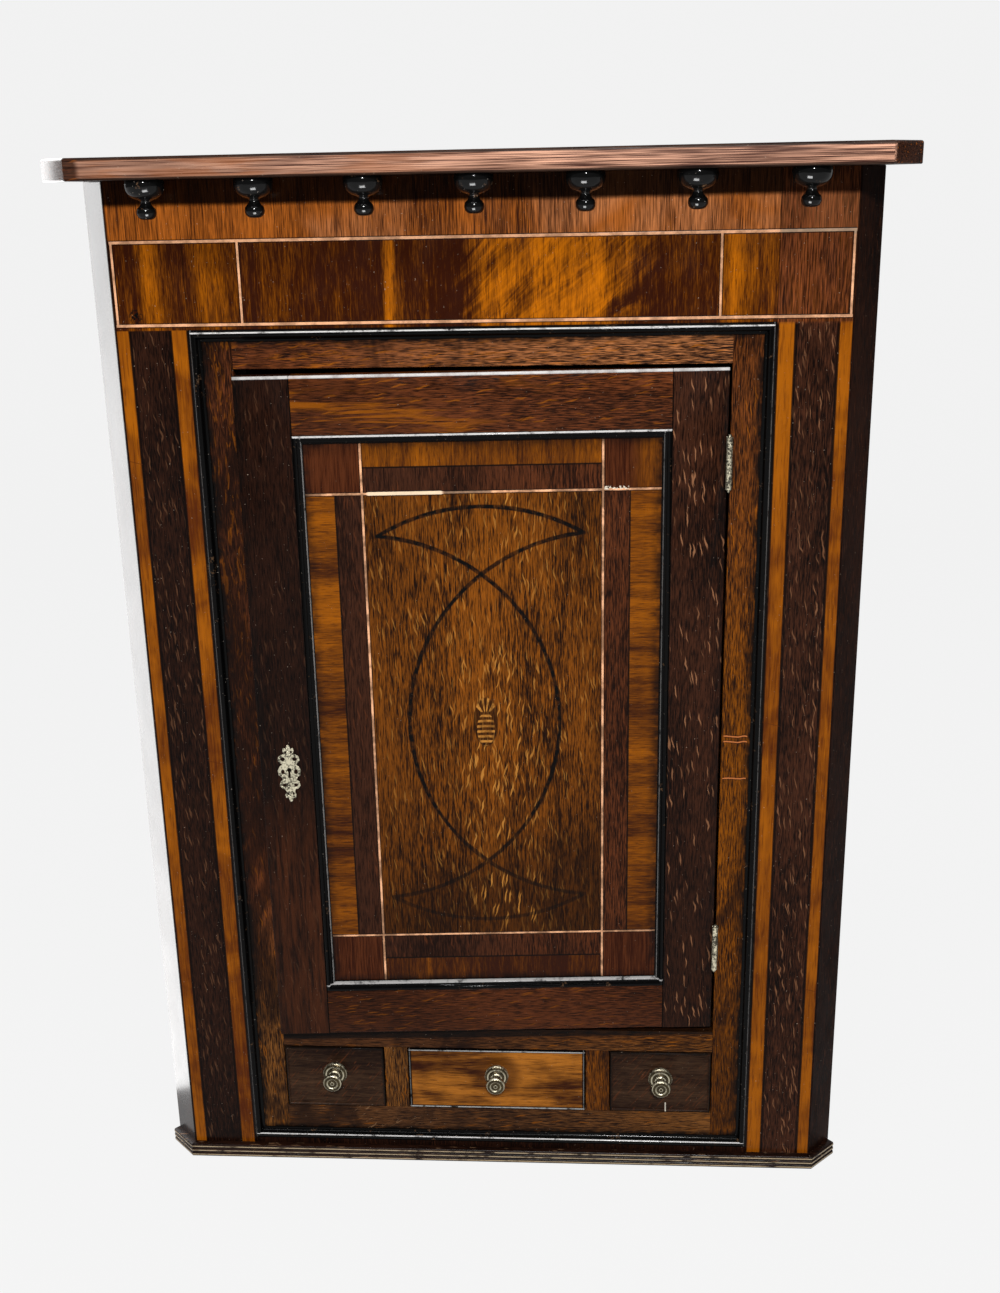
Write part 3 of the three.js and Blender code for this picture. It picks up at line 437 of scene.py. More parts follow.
def veneer_look(place):
    """The front boards: banded pilasters below, flame veneer between strings, oak above, and a
    painted shadow under the cornice.
    """
    c, s = colours(), sizes()
    x, y, z = axes_of(place)
    wide = abs(x)
    right = ramp(x, -0.1, 0.3)
    oak = quartered_oak(position=place, deep=c.oak_deep, main=mixed(right, c.oak_dark, c.stile),
                        fleck=c.oak_fleck, light=0.9, flecks=0.25 + right * 0.35, pores=0.5)
    drift = noise(place, 9, 3, 0.6, 0.8)
    band = flame_mahogany(position=stretched(place, (0.7, 0.7, 0.5)), deep=c.band_deep,
                          main=c.band, glow=drift * 2.2 - 0.8)
    rosy = mixed(ramp(drift + x * 0.5, 0.44, 0.66), scaled(c.frieze, 1.5), shade(182, 112, 64))
    upper = quartered_oak(position=stretched(place, (1.1, 1.1, 0.6)), deep=c.frieze_deep,
                          main=rosy, fleck=c.band, flecks=0.3, pores=0.1, grain=0.6)
    glow = -0.14
    for centre, half, force in ((-0.312, 0.014, 0.3), (-0.255, 0.03, 0.34),
                                (-0.032, 0.034, -0.2), (-0.084, 0.009, 0.55),
                                (0.012, 0.036, 0.24), (0.06, 0.075, 0.46),
                                (0.12, 0.045, 0.34), (0.238, 0.02, 0.34)):
        glow = glow + ramp(abs(x - centre), half, 0.0) * force
    curl = noise(turned_place(place, (0.0, -0.8, 0.0)), (52, 52, 7), 4, 0.65, 1.6)
    glow = glow + between(x, -0.02, 0.165, 0.03) * (curl - 0.5) * 1.5
    flame = flame_mahogany(position=place, deep=c.flame_deep, main=c.flame, glow=glow)

    outer, inner = [between(wide, low, high) for low, high in PILASTER_BANDS]
    wood = mixed(outer | inner, oak.colour, band.colour)
    for centre in PILASTER_SEAMS:
        seam = inlaid_line(along=wide, centre=centre, width=0.0012)
        wood = mixed((seam.line | seam.glue) * 0.9, wood, c.oak_deep)
    for level, low, high in ((0.604, 0.28, 0.297), (0.415, -0.297, -0.28),
                             (0.72, -0.35, -0.336), (0.31, 0.336, 0.35)):
        joint = stripe(z + x * 0.25, level, 0.0009)
        wood = mixed(joint * between(x, low, high) * 0.6, wood, c.band_deep)

    wood = mixed(ramp(z, VENEER_LOW - 0.0005, VENEER_LOW + 0.0005), wood, flame.colour)
    above = ramp(z, VENEER_LOW - 0.003, VENEER_LOW + 0.001)
    block_oak = quartered_oak(position=stretched(place, (0.8, 0.8, 0.6)), deep=c.rail_deep,
                              main=scaled(c.rail, 1.5), fleck=c.rail, flecks=0.3, pores=0.5)
    wood = mixed(ramp(z, 1.0155, 1.0165), wood, upper.colour)
    # Painted shadow under the cornice: the top of the frieze is blackened down to a wavy edge.
    cornice_shadow_edge = z + drift * 0.008 - 0.004
    wood = mixed(ramp(cornice_shadow_edge, 1.045, 1.05) * 0.82, wood, c.oak_deep)
    wood = mixed(ramp(x, 0.2787, 0.2793) * above * 0.75, wood, block_oak.colour)

    between_strings = between(z, *FRIEZE_STRINGS)
    near, far = [inlaid_line(along=wide, centre=at, width=s.string_width)
                 for at in FRIEZE_UPRIGHTS]
    string = (near.line | far.line) * between_strings
    glue = (near.glue | far.glue) * between_strings
    inside = ramp(wide, 0.3484, 0.3478)
    for level in FRIEZE_STRINGS:
        inlay = inlaid_line(along=z, centre=level, width=s.string_width * 1.2)
        string = string | inlay.line * inside
        glue = glue | inlay.glue * inside
    wood = mixed(stripe(wide, 0.279, 0.0007) * above * 0.75, wood, c.oak_deep)
    wood = mixed(glue * 0.95, wood, c.oak_deep)
    stain = ramp(noise(place, 60, 4, 0.65), 0.35, 0.66)
    pale = mixed(stain, scaled(c.string, 0.4), scaled(c.string, 0.86))
    grey = ramp(x, 0.276, 0.282) * ramp(z, 1.01, 1.012) * 0.7
    wood = mixed(string, wood, mixed(grey, pale, shade(132, 118, 100)))
    hole = ramp(distance_to(x, z, -0.3285, 0.9465), 0.008, 0.005)
    gnawed = ramp(noise(place, (420, 420, 300), 1, 0.4, 1.0), 0.46, 0.54)
    wood = mixed(hole * gnawed, wood, c.ebony)
    wood = mixed(ramp(wide, 0.3481, 0.3489) * 0.85, wood, c.oak_deep)
    wood = mixed(ramp(y, FRONT_PLANE + 0.001, FRONT_PLANE + 0.0016), wood, oak.colour)
    return polished(place, wood, oak.height + string * 0.7 + glue * -0.8)


def dark_oak_look(place):
    """The returns and the base rail. The left return still has its old high polish."""
    c = colours()
    x, _, z = axes_of(place)
    oak = quartered_oak(position=place, deep=c.oak_deep, main=c.oak_dark, fleck=c.stile,
                        light=0.6, flecks=0.4, pores=0.6)
    made = polished(place, oak.colour, oak.height, roughness=0.4)
    rubbed = noise(place, (20, 20, 9), 3, 0.6)
    made["coat"] = ramp(x, -HALF_FRONT - 0.0005, -HALF_FRONT - 0.002) \
        * (0.74 + rubbed * 0.2 + ramp(z, 0.1, 0.9) * 0.08)
    return made


def cornice_look(place):
    """Pinkish streaked oak with dark end grain, a dark line along its top arris, painted shade
    along its lower edge, and old high polish at the left end.
    """
    c = colours()
    level = lying(place)
    x, _, z = axes_of(place)
    paler = mixed(ramp(x, -0.36, 0.24), scaled(c.cornice, 0.74), scaled(c.cornice, 1.5))
    oak = quartered_oak(position=stretched(level, (0.8, 0.8, 0.2)), deep=c.cornice_deep,
                        main=paler, fleck=shade(204, 160, 130), flecks=0.2, pores=0.2,
                        grain=0.9)
    streaks = ramp(noise(level, (150, 150, 14), 3, 0.6, 0.5), 0.4, 0.6)
    warm = ramp(x, 0.1, -0.15) * ramp(x, -0.37, -0.33) * streaks * 0.34
    wood = mixed(warm, oak.colour, c.frieze)
    broad = noise(level, (24, 24, 6), 3, 0.6, 0.4)
    wood = mixed(ramp(broad, 0.42, 0.66) * 0.4, wood, c.cornice_deep)
    # A dark line along the top arris, and painted shade in a band along the bottom edge, where
    # the front turns under.
    edge = ramp(z, 1.0866, 1.088) | ramp(z, 1.073, 1.0716)
    wood = mixed(edge * 0.9, wood, c.oak_deep)
    left_end = ramp(abs(x) + broad * 0.006, 0.3555, 0.362) * ramp(x, -0.1, -0.2) * 0.9
    end_oak = quartered_oak(position=level, deep=c.oak_deep, main=c.stile, fleck=c.frieze,
                            flecks=0.6, pores=0.6)
    wood = mixed(left_end | ramp(x, 0.3695, 0.372), wood, end_oak.colour)
    made = polished(place, wood, oak.height, roughness=0.38, dust=0.3)
    made["coat"] = ramp(x, -0.369, -0.3705)
    return made


def frame_look(upright, place):
    """The centre frame: dark with golden patches at the left, orange towards the right, with a
    painted shadow under the door.
    """
    c = colours()
    grain = place if upright else lying(place)
    x, _, z = axes_of(place)
    side = ramp(x, -0.24, 0.22) if upright else ramp(x, -0.1, 0.3)
    tint = mixed(side * (1.0 - ramp(z, 0.5, 0.88) * 0.7), c.rail, scaled(c.band, 0.72))
    if upright:
        dusty = ramp(z, 0.36, 0.12) * ramp(x, 0.05, -0.05) * 0.6
        tint = mixed(dusty, tint, shade(134, 88, 36))
    else:
        tint = mixed(ramp(z, 0.2, 0.12) * 0.6, tint, shade(104, 72, 40))
        top = ramp(z, 0.88, 0.895) * ramp(x, -0.22, 0.15) * 0.75
        tint = mixed(top, tint, shade(190, 122, 74))
    oak = quartered_oak(position=grain, deep=c.rail_deep, main=tint, fleck=c.band, flecks=0.55,
                        pores=0.7)
    lift = noise(place, (19, 19, 10), 3, 0.6, 0.8) + side * 0.2
    if upright:
        lift = lift + ramp(z, 0.36, 0.1) * ramp(x, -0.05, 0.05) * -0.16 \
            + ramp(z, 0.36, 0.1) * 0.08
    else:
        lift = lift + 0.1
    wood = mixed(ramp(lift, 0.62, 0.42) * 0.75, oak.colour, c.rail_deep)
    if upright:
        foot = ramp(z, 0.3, 0.1) * ramp(x, 0.05, 0.2) * 0.45
        wood = mixed(foot, wood, c.rail_deep)
        waist = ramp(x, -0.2, -0.26) * ramp(z, 0.9, 0.82) * ramp(z, 0.3, 0.45) * 0.5
        wood = mixed(waist, wood, c.rail_deep)
    else:
        wood = mixed(ramp(z, 0.3, 0.2) * (1.0 - side) * 0.3, wood, c.rail_deep)
        # Painted shadow of the door: the top of the mid rail is blackened just under the door's
        # bottom edge.
        door_shadow = ramp(z + x * -0.031, 0.1555, 0.159) * ramp(z, 0.22, 0.2) * 0.88
        wood = mixed(door_shadow, wood, c.ebony)
    gold = ramp(noise(grain, (190, 190, 34), 3, 0.6, 1.2), 0.55, 0.66)
    streak = gold * (1.0 - side) * (0.26 if upright else 0.25) * ramp(z, 0.5, 0.82)
    wood = mixed(streak, wood, c.flame)
    # Darker towards the frame's edges, next to the bead.
    wood = darkened_towards_edges(wood, 0.95, place, abs(x), -1.0, FRAME_SIDE, 0.011)
    wood = darkened_towards_edges(wood, 0.95, place, z, FRAME_LOW, FRAME_HIGH, 0.007)
    if upright:
        bowed = z + noise(place, (60, 60, 8)) * 0.006 - 0.003
        across = between(x, 0.2415, 0.2655)
        for mark in (0.5171, 0.5112, 0.4706):
            scratch = inlaid_line(along=bowed, centre=mark, width=0.0014)
            wood = mixed(scratch.glue * across * 0.7, wood, c.rail_deep)
            wood = mixed(scratch.line * across * 0.85, wood, shade(180, 106, 58))
    else:
        rubbed = noise(turned_place(place, (0.0, 0.6, 0.0)), (60, 60, 380), 3, 0.55, 1.0)
        mark = ramp(rubbed, 0.62, 0.67) * between(x, -0.16, -0.08, 0.015) \
            * ramp(z, 0.07, 0.062) * 0.8
        wood = mixed(mark, wood, c.worn)
    return polished(place, wood, oak.height, roughness=0.3)


def door_frame_look(upright, place):
    """The door's stiles, or its rails: joints, edges darkened towards the sides, and a painted
    highlight on the top arris.
    """
    c = colours()
    flat = closed_door_place(place)
    x, y, z = axes_of(flat)
    grain = flat if upright else lying(flat)
    if upright:
        right = ramp(x, -0.1, 0.1)
        oak = quartered_oak(position=grain, deep=c.oak_deep,
                            main=mixed(right, c.oak_dark, c.stile), fleck=c.oak_fleck,
                            light=right * 0.2 + 0.6 + ramp(z, 0.5, 0.3) * right * -0.25,
                            flecks=right * 0.75 + 0.1, pores=0.5)
        fibres = ramp(noise(grain, (300, 300, 20), 3, 0.6, 0.4), 0.3, 0.65)
        low = ramp(z, 0.5, 0.36) * (1.0 - right)
        wood = mixed(low * fibres * 0.28, oak.colour, c.rail)
    else:
        red = mixed(ramp(x, -0.15, 0.05), scaled(c.rail, 0.62), c.rail)
        oak = quartered_oak(position=grain, deep=c.rail_deep, main=red, fleck=c.band,
                            flecks=0.45, pores=0.5)
        streak = ramp(noise(grain, (90, 90, 7), 4, 0.65, 0.8), 0.5, 0.62)
        glow = ramp(x, 0.1, -0.1) * ramp(z, 0.5, 0.85) * streak * 0.6
        wood = mixed(glow, oak.colour, c.band)
        wood = mixed(ramp(z, 0.5, 0.3) * 0.35, wood, c.rail_deep)
    wide = abs(x - (DOOR_LOW.x + DOOR_HIGH.x) / 2)
    # Darker towards the door's side edges.
    wood = darkened_towards_edges(wood, 0.6, flat, wide, -1.0, (DOOR_HIGH.x - DOOR_LOW.x) / 2, 0.012)
    wood = mixed(stripe(wide, 0.183, 0.0013) * 0.85, wood, c.ebony)
    # Painted highlight: a pale line along the door's top front arris, in the crest highlight
    # colour, broken by noise.
    highlight = ramp(noise(flat, 45, 4, 0.65), 0.35, 0.6)
    arris = ramp(z, DOOR_HIGH.z - 0.003, DOOR_HIGH.z - 0.002) \
        * ramp(y, DOOR_LOW.y + 0.0032, DOOR_LOW.y + 0.0024) * (0.55 + highlight * 0.4)
    wood = mixed(arris, wood, c.rubbed)
    return polished(flat, wood, oak.height, roughness=0.28)


def panel_field(flat, x, z, uneven):
    """The panel's golden oak, its dark banding and the crossbanding round it."""
    c = colours()
    wide = abs(x)
    oak = quartered_oak(position=flat, deep=c.field_deep, main=c.field, fleck=c.curl,
                        flecks=0.5, pores=0.35)
    centre = distance_to(x, z * 0.5, 0.006, 0.2875)
    gloom = ramp(centre + uneven * 0.07 - 0.035, 0.03, 0.15)
    wood = mixed(gloom * 0.42, oak.colour, c.field_deep)
    low = ramp(z + uneven * 0.05 + x * -0.3, 0.44, 0.36)
    wood = mixed(low * 0.55, wood, c.field_deep)
    curly = ray_flecks(position=turned_place(flat, (0.0, -0.3, 0.0), (0.3, 0.0, 0.1)),
                       width=0.36)
    column = ramp(abs(x - 0.012), 0.06, 0.02) * ramp(uneven, 0.4, 0.55)
    wood = mixed(curly.mask * column * 0.75, wood, c.curl)

    bars = noise(flat, (3, 3, 24), 3, 0.6)
    crossing = flame_mahogany(position=lying(flat), deep=c.frieze_deep, main=c.band,
                              glow=bars * 1.3 - 0.5)
    steps = noise(flat, (26, 26, 3), 3, 0.6)
    capping = flame_mahogany(position=flat, deep=c.frieze_deep, main=c.band,
                             glow=steps * 0.8 - 0.25 + ramp(z, 0.4, 0.3) * -0.3)
    dark = quartered_oak(position=flat, deep=c.rail_deep,
                         main=mixed(ramp(x, -0.1, 0.15), c.stile, c.rail), fleck=c.rail,
                         light=0.75, flecks=0.3, pores=0.6)
    corner = quartered_oak(position=stretched(flat, (0.6, 0.6, 0.4)), deep=c.flame_deep,
                           main=c.rail, fleck=c.rail, light=0.45, flecks=0.1, pores=0.4)
    edge = 0.0002
    beyond = ramp(wide, STRING_SIDE - edge, STRING_SIDE + edge)
    above = ramp(z, STRING_HIGH - edge, STRING_HIGH + edge) \
        | ramp(z, STRING_LOW + edge, STRING_LOW - edge)
    rim = ramp(z, BORDER_HIGH - edge, BORDER_HIGH + edge) \
        | ramp(z, BORDER_LOW + edge, BORDER_LOW - edge)
    wood = mixed(beyond | above, wood, dark.colour)
    wood = mixed(ramp(wide, BORDER_SIDE - edge, BORDER_SIDE + edge), wood, crossing.colour)
    wood = mixed(rim * (1.0 - beyond), wood, capping.colour)
    wood = mixed(beyond * above, wood, corner.colour)
    lit_corner = beyond * above * ramp(x, 0.14, 0.165) * ramp(z, 0.7, 0.75)
    wood = mixed(lit_corner * 0.85, wood, capping.colour)

    line = 0.0016
    upright = stripe(wide, BORDER_SIDE, line) * (1.0 - above)
    level = stripe(z, BORDER_HIGH, line) | stripe(z, BORDER_LOW, line)
    wood = mixed((upright | level * (1.0 - beyond)) * 0.9, wood, c.ebony)
    for at, where in ((0.6, -1.0), (0.47, 1.0), (0.395, -1.0), (0.68, 1.0)):
        side = ramp(x * where, BORDER_SIDE - edge, BORDER_SIDE + edge)
        wood = mixed(stripe(z, at, 0.0009) * side * 0.6, wood, c.field_deep)
    for at in (-0.092, -0.01, 0.035):
        wood = mixed(stripe(x, at, 0.0009) * rim * (1.0 - beyond) * 0.6, wood, c.field_deep)
    return wood, oak, dark


def panel_arcs(flat, x, z, middle, level):
    """The mask of the four ebony arcs: a pointed oval whose ends run on to a cap."""
    s = sizes()
    half = noise(flat, 45, 3, 0.6) * 0.0012 + s.ebony_width / 2 - 0.0008
    soft = 0.0007

    def arc(centre_x, centre_z):
        off = abs(distance_to(x, z, centre_x, centre_z) - s.arc_radius)
        return ramp(off, half + soft, half - soft)
    inside = ramp(abs(x - middle), 0.1045, 0.1035)
    tall = abs(z - level)
    within = inside * ramp(tall, 0.2, 0.1985)
    caps = inside * ramp(tall, 0.1965, 0.1975)
    rise = 0.027
    return arc(middle + s.arc_shift, level) * within \
        | arc(middle - s.arc_shift, level) * within \
        | arc(middle, level + rise) * (caps * ramp(z, 0.6, 0.61)) \
        | arc(middle, level - rise) * (caps * ramp(z, 0.46, 0.45))


def panel_patera(wood, x, z, level, worn):
    """The small oval inlay in the middle: a barred urn under a fan."""
    c = colours()
    px, pz = (x + 0.002) / 0.013, (z - level) / 0.028
    reach = calc("SQRT", px * px + pz * pz)
    oval = ramp(reach, 1.0, 0.92)
    body = (pz + 0.28) / 0.68
    barrel = px * px * 1.9 + body * body
    bars = calc("SINE", pz * (math.tau / 0.2) + px * px * 1.2)
    rungs = ramp(barrel, 1.0, 0.86) * ramp(bars, -0.2, 0.5)
    fan = calc("COSINE", calc("ARCTAN2", pz - 0.2, px) * 10.0)
    blades = ramp(fan, 0.0, 0.6) * ramp(pz, 0.38, 0.44)
    wood = mixed(oval * 0.7, wood, mixed(ramp(reach, 0.3, 0.9), c.field_deep, c.oak_deep))
    rubbed = 0.3 + ramp(worn, 0.38, 0.6) * 0.6
    return mixed((rungs | blades * oval) * rubbed, wood, c.curl)


def panel_look(place):
    """The door's panel: field, two bands, strings, ebony arcs and an oval patera."""
    c, s = colours(), sizes()
    flat = closed_door_place(place)
    x, y, z = axes_of(flat)
    wide = abs(x)
    wood, oak, dark = panel_field(flat, x, z, noise(flat, (16, 16, 8), 3, 0.6))

    middle, level = -0.003, 0.534
    worn = noise(flat, 140, 3, 0.6)
    fading = 0.62 + ramp(z, 0.3, 0.45) * 0.38
    ink = panel_arcs(flat, x, z, middle, level) * fading * (0.7 + ramp(worn, 0.35, 0.6) * 0.3)
    wood = mixed(ink, wood, c.ebony)

    filled = between(x, -0.113, -0.039, 0.002)
    side, high, low = [
        inlaid_line(along=along, centre=centre, width=width) for along, centre, width in (
            (wide, STRING_SIDE, s.string_width),
            (z, STRING_HIGH, s.string_width + filled * 0.0013),
            (z, STRING_LOW, s.string_width * 0.9))]
    strings = side.line | high.line | low.line
    glue = side.glue | high.glue | low.glue
    stain = ramp(noise(flat, 50, 4, 0.65), 0.38, 0.66)
    pale = mixed(stain, scaled(c.string, 0.3), c.string)
    wood = mixed(glue * 0.85, wood, c.oak_deep)
    upper = ramp(z, 0.77, 0.772)
    pale = mixed(filled * upper * 0.8, pale, shade(226, 206, 176))
    lost = between(x, -0.038, 0.009, 0.002) * upper * 0.75
    pale = mixed(lost, pale, shade(92, 80, 68))
    wood = mixed(strings, wood, pale)
    chips = between(x, 0.1195, 0.143, 0.001) * stripe(z, STRING_HIGH + 0.0016, 0.0034) \
        * ramp(noise(flat, 520), 0.5, 0.56) * 0.85
    wood = mixed(chips, wood, shade(214, 204, 186))
    wood = panel_patera(wood, x, z, level, worn)

    # Darker towards the panel's edges, next to the moulding.
    darkening_mask = edge_darkening(position=flat, along=wide, low=-1.0, high=PANEL_SIDE, reach=0.012).mask \
        | edge_darkening(position=flat, along=z, low=PANEL_LOW, high=PANEL_HIGH, reach=0.01).mask
    wood = mixed(darkening_mask * 0.8, wood, c.ebony)
    wood = mixed(ramp(y, FRONT_PLANE + 0.0155, FRONT_PLANE + 0.0165), wood, dark.colour)
    height = oak.height * 0.8 + strings * 0.7 + ink * 0.6 + glue * -0.6
    return polished(flat, wood, height)


def middle_drawer_look(place):
    """Golden mahogany, darker round the knob, with an ebony cockbead that carries painted
    highlights.
    """
    c = colours()
    x, y, z = axes_of(place)
    level = lying(place)
    wide = abs(x)
    figure = noise(place, 14, 3, 0.6) * 1.6 + noise(level, (80, 80, 8), 3, 0.6, 0.5) * 1.8
    wood = flame_mahogany(position=stretched(level, (1, 1, 0.8)), deep=c.flame_deep,
                          main=shade(168, 103, 34), light=0.95, glow=figure - 1.45)
    bead = ramp(wide, 0.0955, 0.0965) | ramp(abs(z - 0.103), 0.0346, 0.0354)
    # A darker ring round the knob.
    soil = ramp(distance_to(x, z, 0.0, 0.108), 0.034, 0.018)
    base = mixed(bead, mixed(soil * 0.6, wood.colour, c.flame_deep), c.ebony)
    # Painted highlights: pale lines along the cockbead's crests, strongest at the top and bottom.
    crest = stripe(z, 0.1398, 0.0011) | stripe(z, 0.0668, 0.0011) \
        | stripe(wide, 0.0975, 0.0008) * 0.4
    cockbead_highlight = crest * bead * ramp(noise(place, 90, 3, 0.6), 0.3, 0.5) * 0.6 \
        * ramp(y, FRONT_PLANE + 0.0075, FRONT_PLANE + 0.006)
    return polished(place, mixed(cockbead_highlight, base, c.rubbed), wood.height)


def side_drawer_look(place):
    """Dull scratched mahogany with a dark outline of painted shade, and a drip under the right
    knob.
    """
    c = colours()
    x, _, z = axes_of(place)
    wood = flame_mahogany(position=lying(place), deep=c.rail_deep, main=shade(92, 66, 46),
                          light=0.7, glow=noise(place, 14, 3, 0.6) * 0.6 - 0.25)
    scratch = noise(turned_place(place, (0.0, 0.9, 0.0)), (60, 60, 700), 2, 0.5, 0.6)
    dim = mixed(ramp(scratch, 0.6, 0.7) * 0.4, wood.colour, c.rail)
    # Painted shade: a dark outline round the front, where the gap to the frame lies in shade.
    low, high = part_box("drawer_front_right")
    ends = [ramp(abs(at - (near + far) / 2), (far - near) / 2 - 0.0028,
                 (far - near) / 2 - 0.0008)
            for at, near, far in ((abs(x), low.x, high.x), (z, low.z, high.z))]
    dim = mixed((ends[0] | ends[1]) * 0.8, dim, c.ebony)
    drip = between(x, 0.1884, 0.1896) * between(z, 0.066, 0.0765) * 0.8
    dim = mixed(drip, dim, shade(210, 202, 186))
    return polished(place, dim, wood.height, roughness=0.36)


def ebony_look(crests, place):
    """Ebonised wood, rubbed through here and there, with painted highlights along its crests.

    crests gets the place and returns a mask of painted highlight lines, or is None."""
    c = colours()
    wear = ramp(noise(place, 75, 4, 0.65), 0.62, 0.7) * ramp(noise(place, 420), 0.45, 0.6) * 0.4
    polish = old_polish(position=place, roughness=0.11, dust=0.5)
    wood = mixed(wear, c.ebony, c.worn)
    wood = mixed(polish.specks * 0.8, wood, shade(190, 175, 160))
    if crests:
        # Painted highlights: pale lines along the crests, broken by noise.
        broken = ramp(noise(place, 90, 4, 0.7), 0.28, 0.5)
        wood = mixed(crests(place) * broken, wood, c.rubbed)
    return {"colour": wood,
            "roughness": calc("ADD", polish.roughness, wear * 0.3, clamp=True),
            "height": polish.height * 0.4 + wear * -0.4, "strength": 0.15}


def bead_painted_highlights(place):
    x, _, z = axes_of(place)
    wide = abs(x)
    # Painted highlights on the bead: pale lines along the top and bottom members, and a faint one
    # on the uprights.
    level = stripe(z, 0.9304, 0.0013) * 0.9 | stripe(z, 0.0306, 0.0009) * 0.95
    return level * ramp(wide, 0.2775, 0.2765) | stripe(wide, 0.2767, 0.0009) * 0.15


def moulding_painted_highlights(place):
    x, _, z = axes_of(closed_door_place(place))
    # Painted highlights on the door's moulding: pale lines along its top and bottom members,
    # fainter on its uprights.
    level = stripe(z, 0.8328, 0.0016) * 0.9 | stripe(z, 0.2345, 0.0018) * 0.6
    upright = stripe(x, -0.1742, 0.0007) * 0.6 | stripe(x, 0.1768, 0.0009) * 0.2
    return level | upright * between(z, 0.2335, 0.8335)


def plinth_look(place):
    """Dark oak whose reeds carry painted highlights, pale lines along their ridges."""
    c = colours()
    oak = quartered_oak(position=lying(place), deep=c.oak_deep, main=c.oak_dark, fleck=c.worn,
                        light=0.5, flecks=0.5, pores=0.8)
    _, _, z = axes_of(place)
    ridge = calc("SINE", z * (math.tau * REEDS / PLINTH_HIGH) - 1.6)
    # Painted highlights: pale lines along the reed ridges, broken by noise.
    worn = ramp(ridge, 0.5, 0.98) * ramp(noise(place, 60, 4, 0.6), 0.28, 0.5) * 0.85
    wood = mixed(worn, oak.colour, shade(178, 158, 128))
    return polished(place, wood, oak.height, roughness=0.3)


def pine_look(upright, place):
    """Bare pine with rings, knots and soiled patches."""
    c = colours()
    grain = place if upright else lying(place)
    rings = calc("SINE", noise(grain, (30, 30, 1.6), 3, 0.5, 1.2) * 60.0)
    fine = noise(grain, (420, 420, 14), 3, 0.6)
    tone = rings * 0.28 + fine * 0.7 + 0.1
    wood = mixed(ramp(tone, 0.15, 0.85), c.pine_deep, c.pine)
    knots = ramp(noise(place, (9, 9, 5), 1, 0.4), 0.74, 0.8)
    wood = mixed(knots * 0.8, wood, c.oak_dark)
    soil = ramp(noise(place, (12, 12, 8), 4, 0.6), 0.45, 0.75)
    wood = mixed(soil * 0.5, wood, c.pine_deep)
    return {"colour": wood, "roughness": 0.62 + fine * 0.25, "height": fine, "strength": 0.35}


def brass_look(pale, place):
    c = colours()
    dirt = noise(place, 430 if pale else 260, 4, 0.65)
    broad = noise(place, 70, 3, 0.6)
    mark = noise(place, 900)
    soil = ramp(dirt * 0.7 + broad * 0.4, 0.49, 0.64) * (0.95 if pale else 0.55)
    return {"colour": mixed(soil, c.brass_pale if pale else c.brass, c.tarnish),
            "roughness": 0.2 + soil * 0.4 + mark * 0.12, "metallic": 1.0 - soil * 0.35,
            "height": mark + soil * -1.4, "strength": 0.45}


def knob_look(place):
    """Aged brass, dulled with tarnish, with pale rings painted on its turned edges as
    reflections.
    """
    c = colours()
    made = brass_look(False, place)
    x, _, z = axes_of(place)
    low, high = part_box("drawer_knob_right")
    wide = abs(x)
    across = calc("MINIMUM", wide, abs(wide - (low.x + high.x) / 2))
    radius = distance_to(across, z, 0.0, (low.z + high.z) / 2)
    # Painted reflections: pale rings on the turned edges.
    rings = stripe(radius, 0.0057, 0.0011) | stripe(radius, 0.0098, 0.0014) \
        | stripe(radius, 0.0131, 0.0009) | stripe(radius, 0.0019, 0.0006)
    made["colour"] = mixed(0.68, made["colour"], c.tarnish)
    made["colour"] = mixed(rings * 0.6, made["colour"], c.brass_pale)
    return made


def iron_look(place):
    rust = noise(place, 160, 4, 0.65)
    rusty = ramp(rust, 0.45, 0.7)
    return {"colour": mixed(rusty, shade(62, 58, 54), shade(96, 58, 36)),
            "roughness": 0.4 + rust * 0.35, "metallic": 1.0 - rusty * 0.7,
            "height": noise(place, 800), "strength": 0.3}


LOOKS = {
    "front_veneer": (veneer_look, {}),
    "dark_oak": (dark_oak_look, {"coat_roughness": 0.2, "specular": 0.02}),
    "cornice_oak": (cornice_look, {"coat_roughness": 0.2}),
    "frame_upright": (partial(frame_look, True), {}),
    "frame_level": (partial(frame_look, False), {}),
    "door_upright": (partial(door_frame_look, True), {}),
    "door_level": (partial(door_frame_look, False), {}),
    "inlaid_panel": (panel_look, {}),
    "drawer_flame": (middle_drawer_look, {}),
    "drawer_dark": (side_drawer_look, {}),
    "ebonised_drop": (partial(ebony_look, None), {"specular": 0.16}),
    "ebonised_bead": (partial(ebony_look, bead_painted_highlights), {"specular": 0.07}),
    "ebonised_moulding": (partial(ebony_look, moulding_painted_highlights), {"specular": 0.07}),
    "reeded_plinth": (plinth_look, {"specular": 0.12}),
    "pine_upright": (partial(pine_look, True), {}),
    "pine_level": (partial(pine_look, False), {}),
    "turned_brass": (knob_look, {"specular": 0.5}),
    "rubbed_brass": (partial(brass_look, True), {"specular": 0.5}),
    "dark_iron": (iron_look, {"specular": 0.5}),
}


def look(name):
    draw, settings = LOOKS[name]
    return material(name, draw, **settings)


# Shaping

def finished(name, shape, look_name, body, stands_for, sharp_deg=34.0):
    """Makes an object of a bmesh, shades it, and lets it stand for a CAD node."""
    mesh = bpy.data.meshes.new(name)
    shape.to_mesh(mesh)
    shape.free()
    mesh.shade_smooth()
    mesh.set_sharp_from_angle(angle=math.radians(sharp_deg))
    mesh.materials.append(look(look_name))
    piece = bpy.data.objects.new(name, mesh)
    bpy.context.scene.collection.objects.link(piece)
    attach(piece, body)
    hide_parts(stands_for)


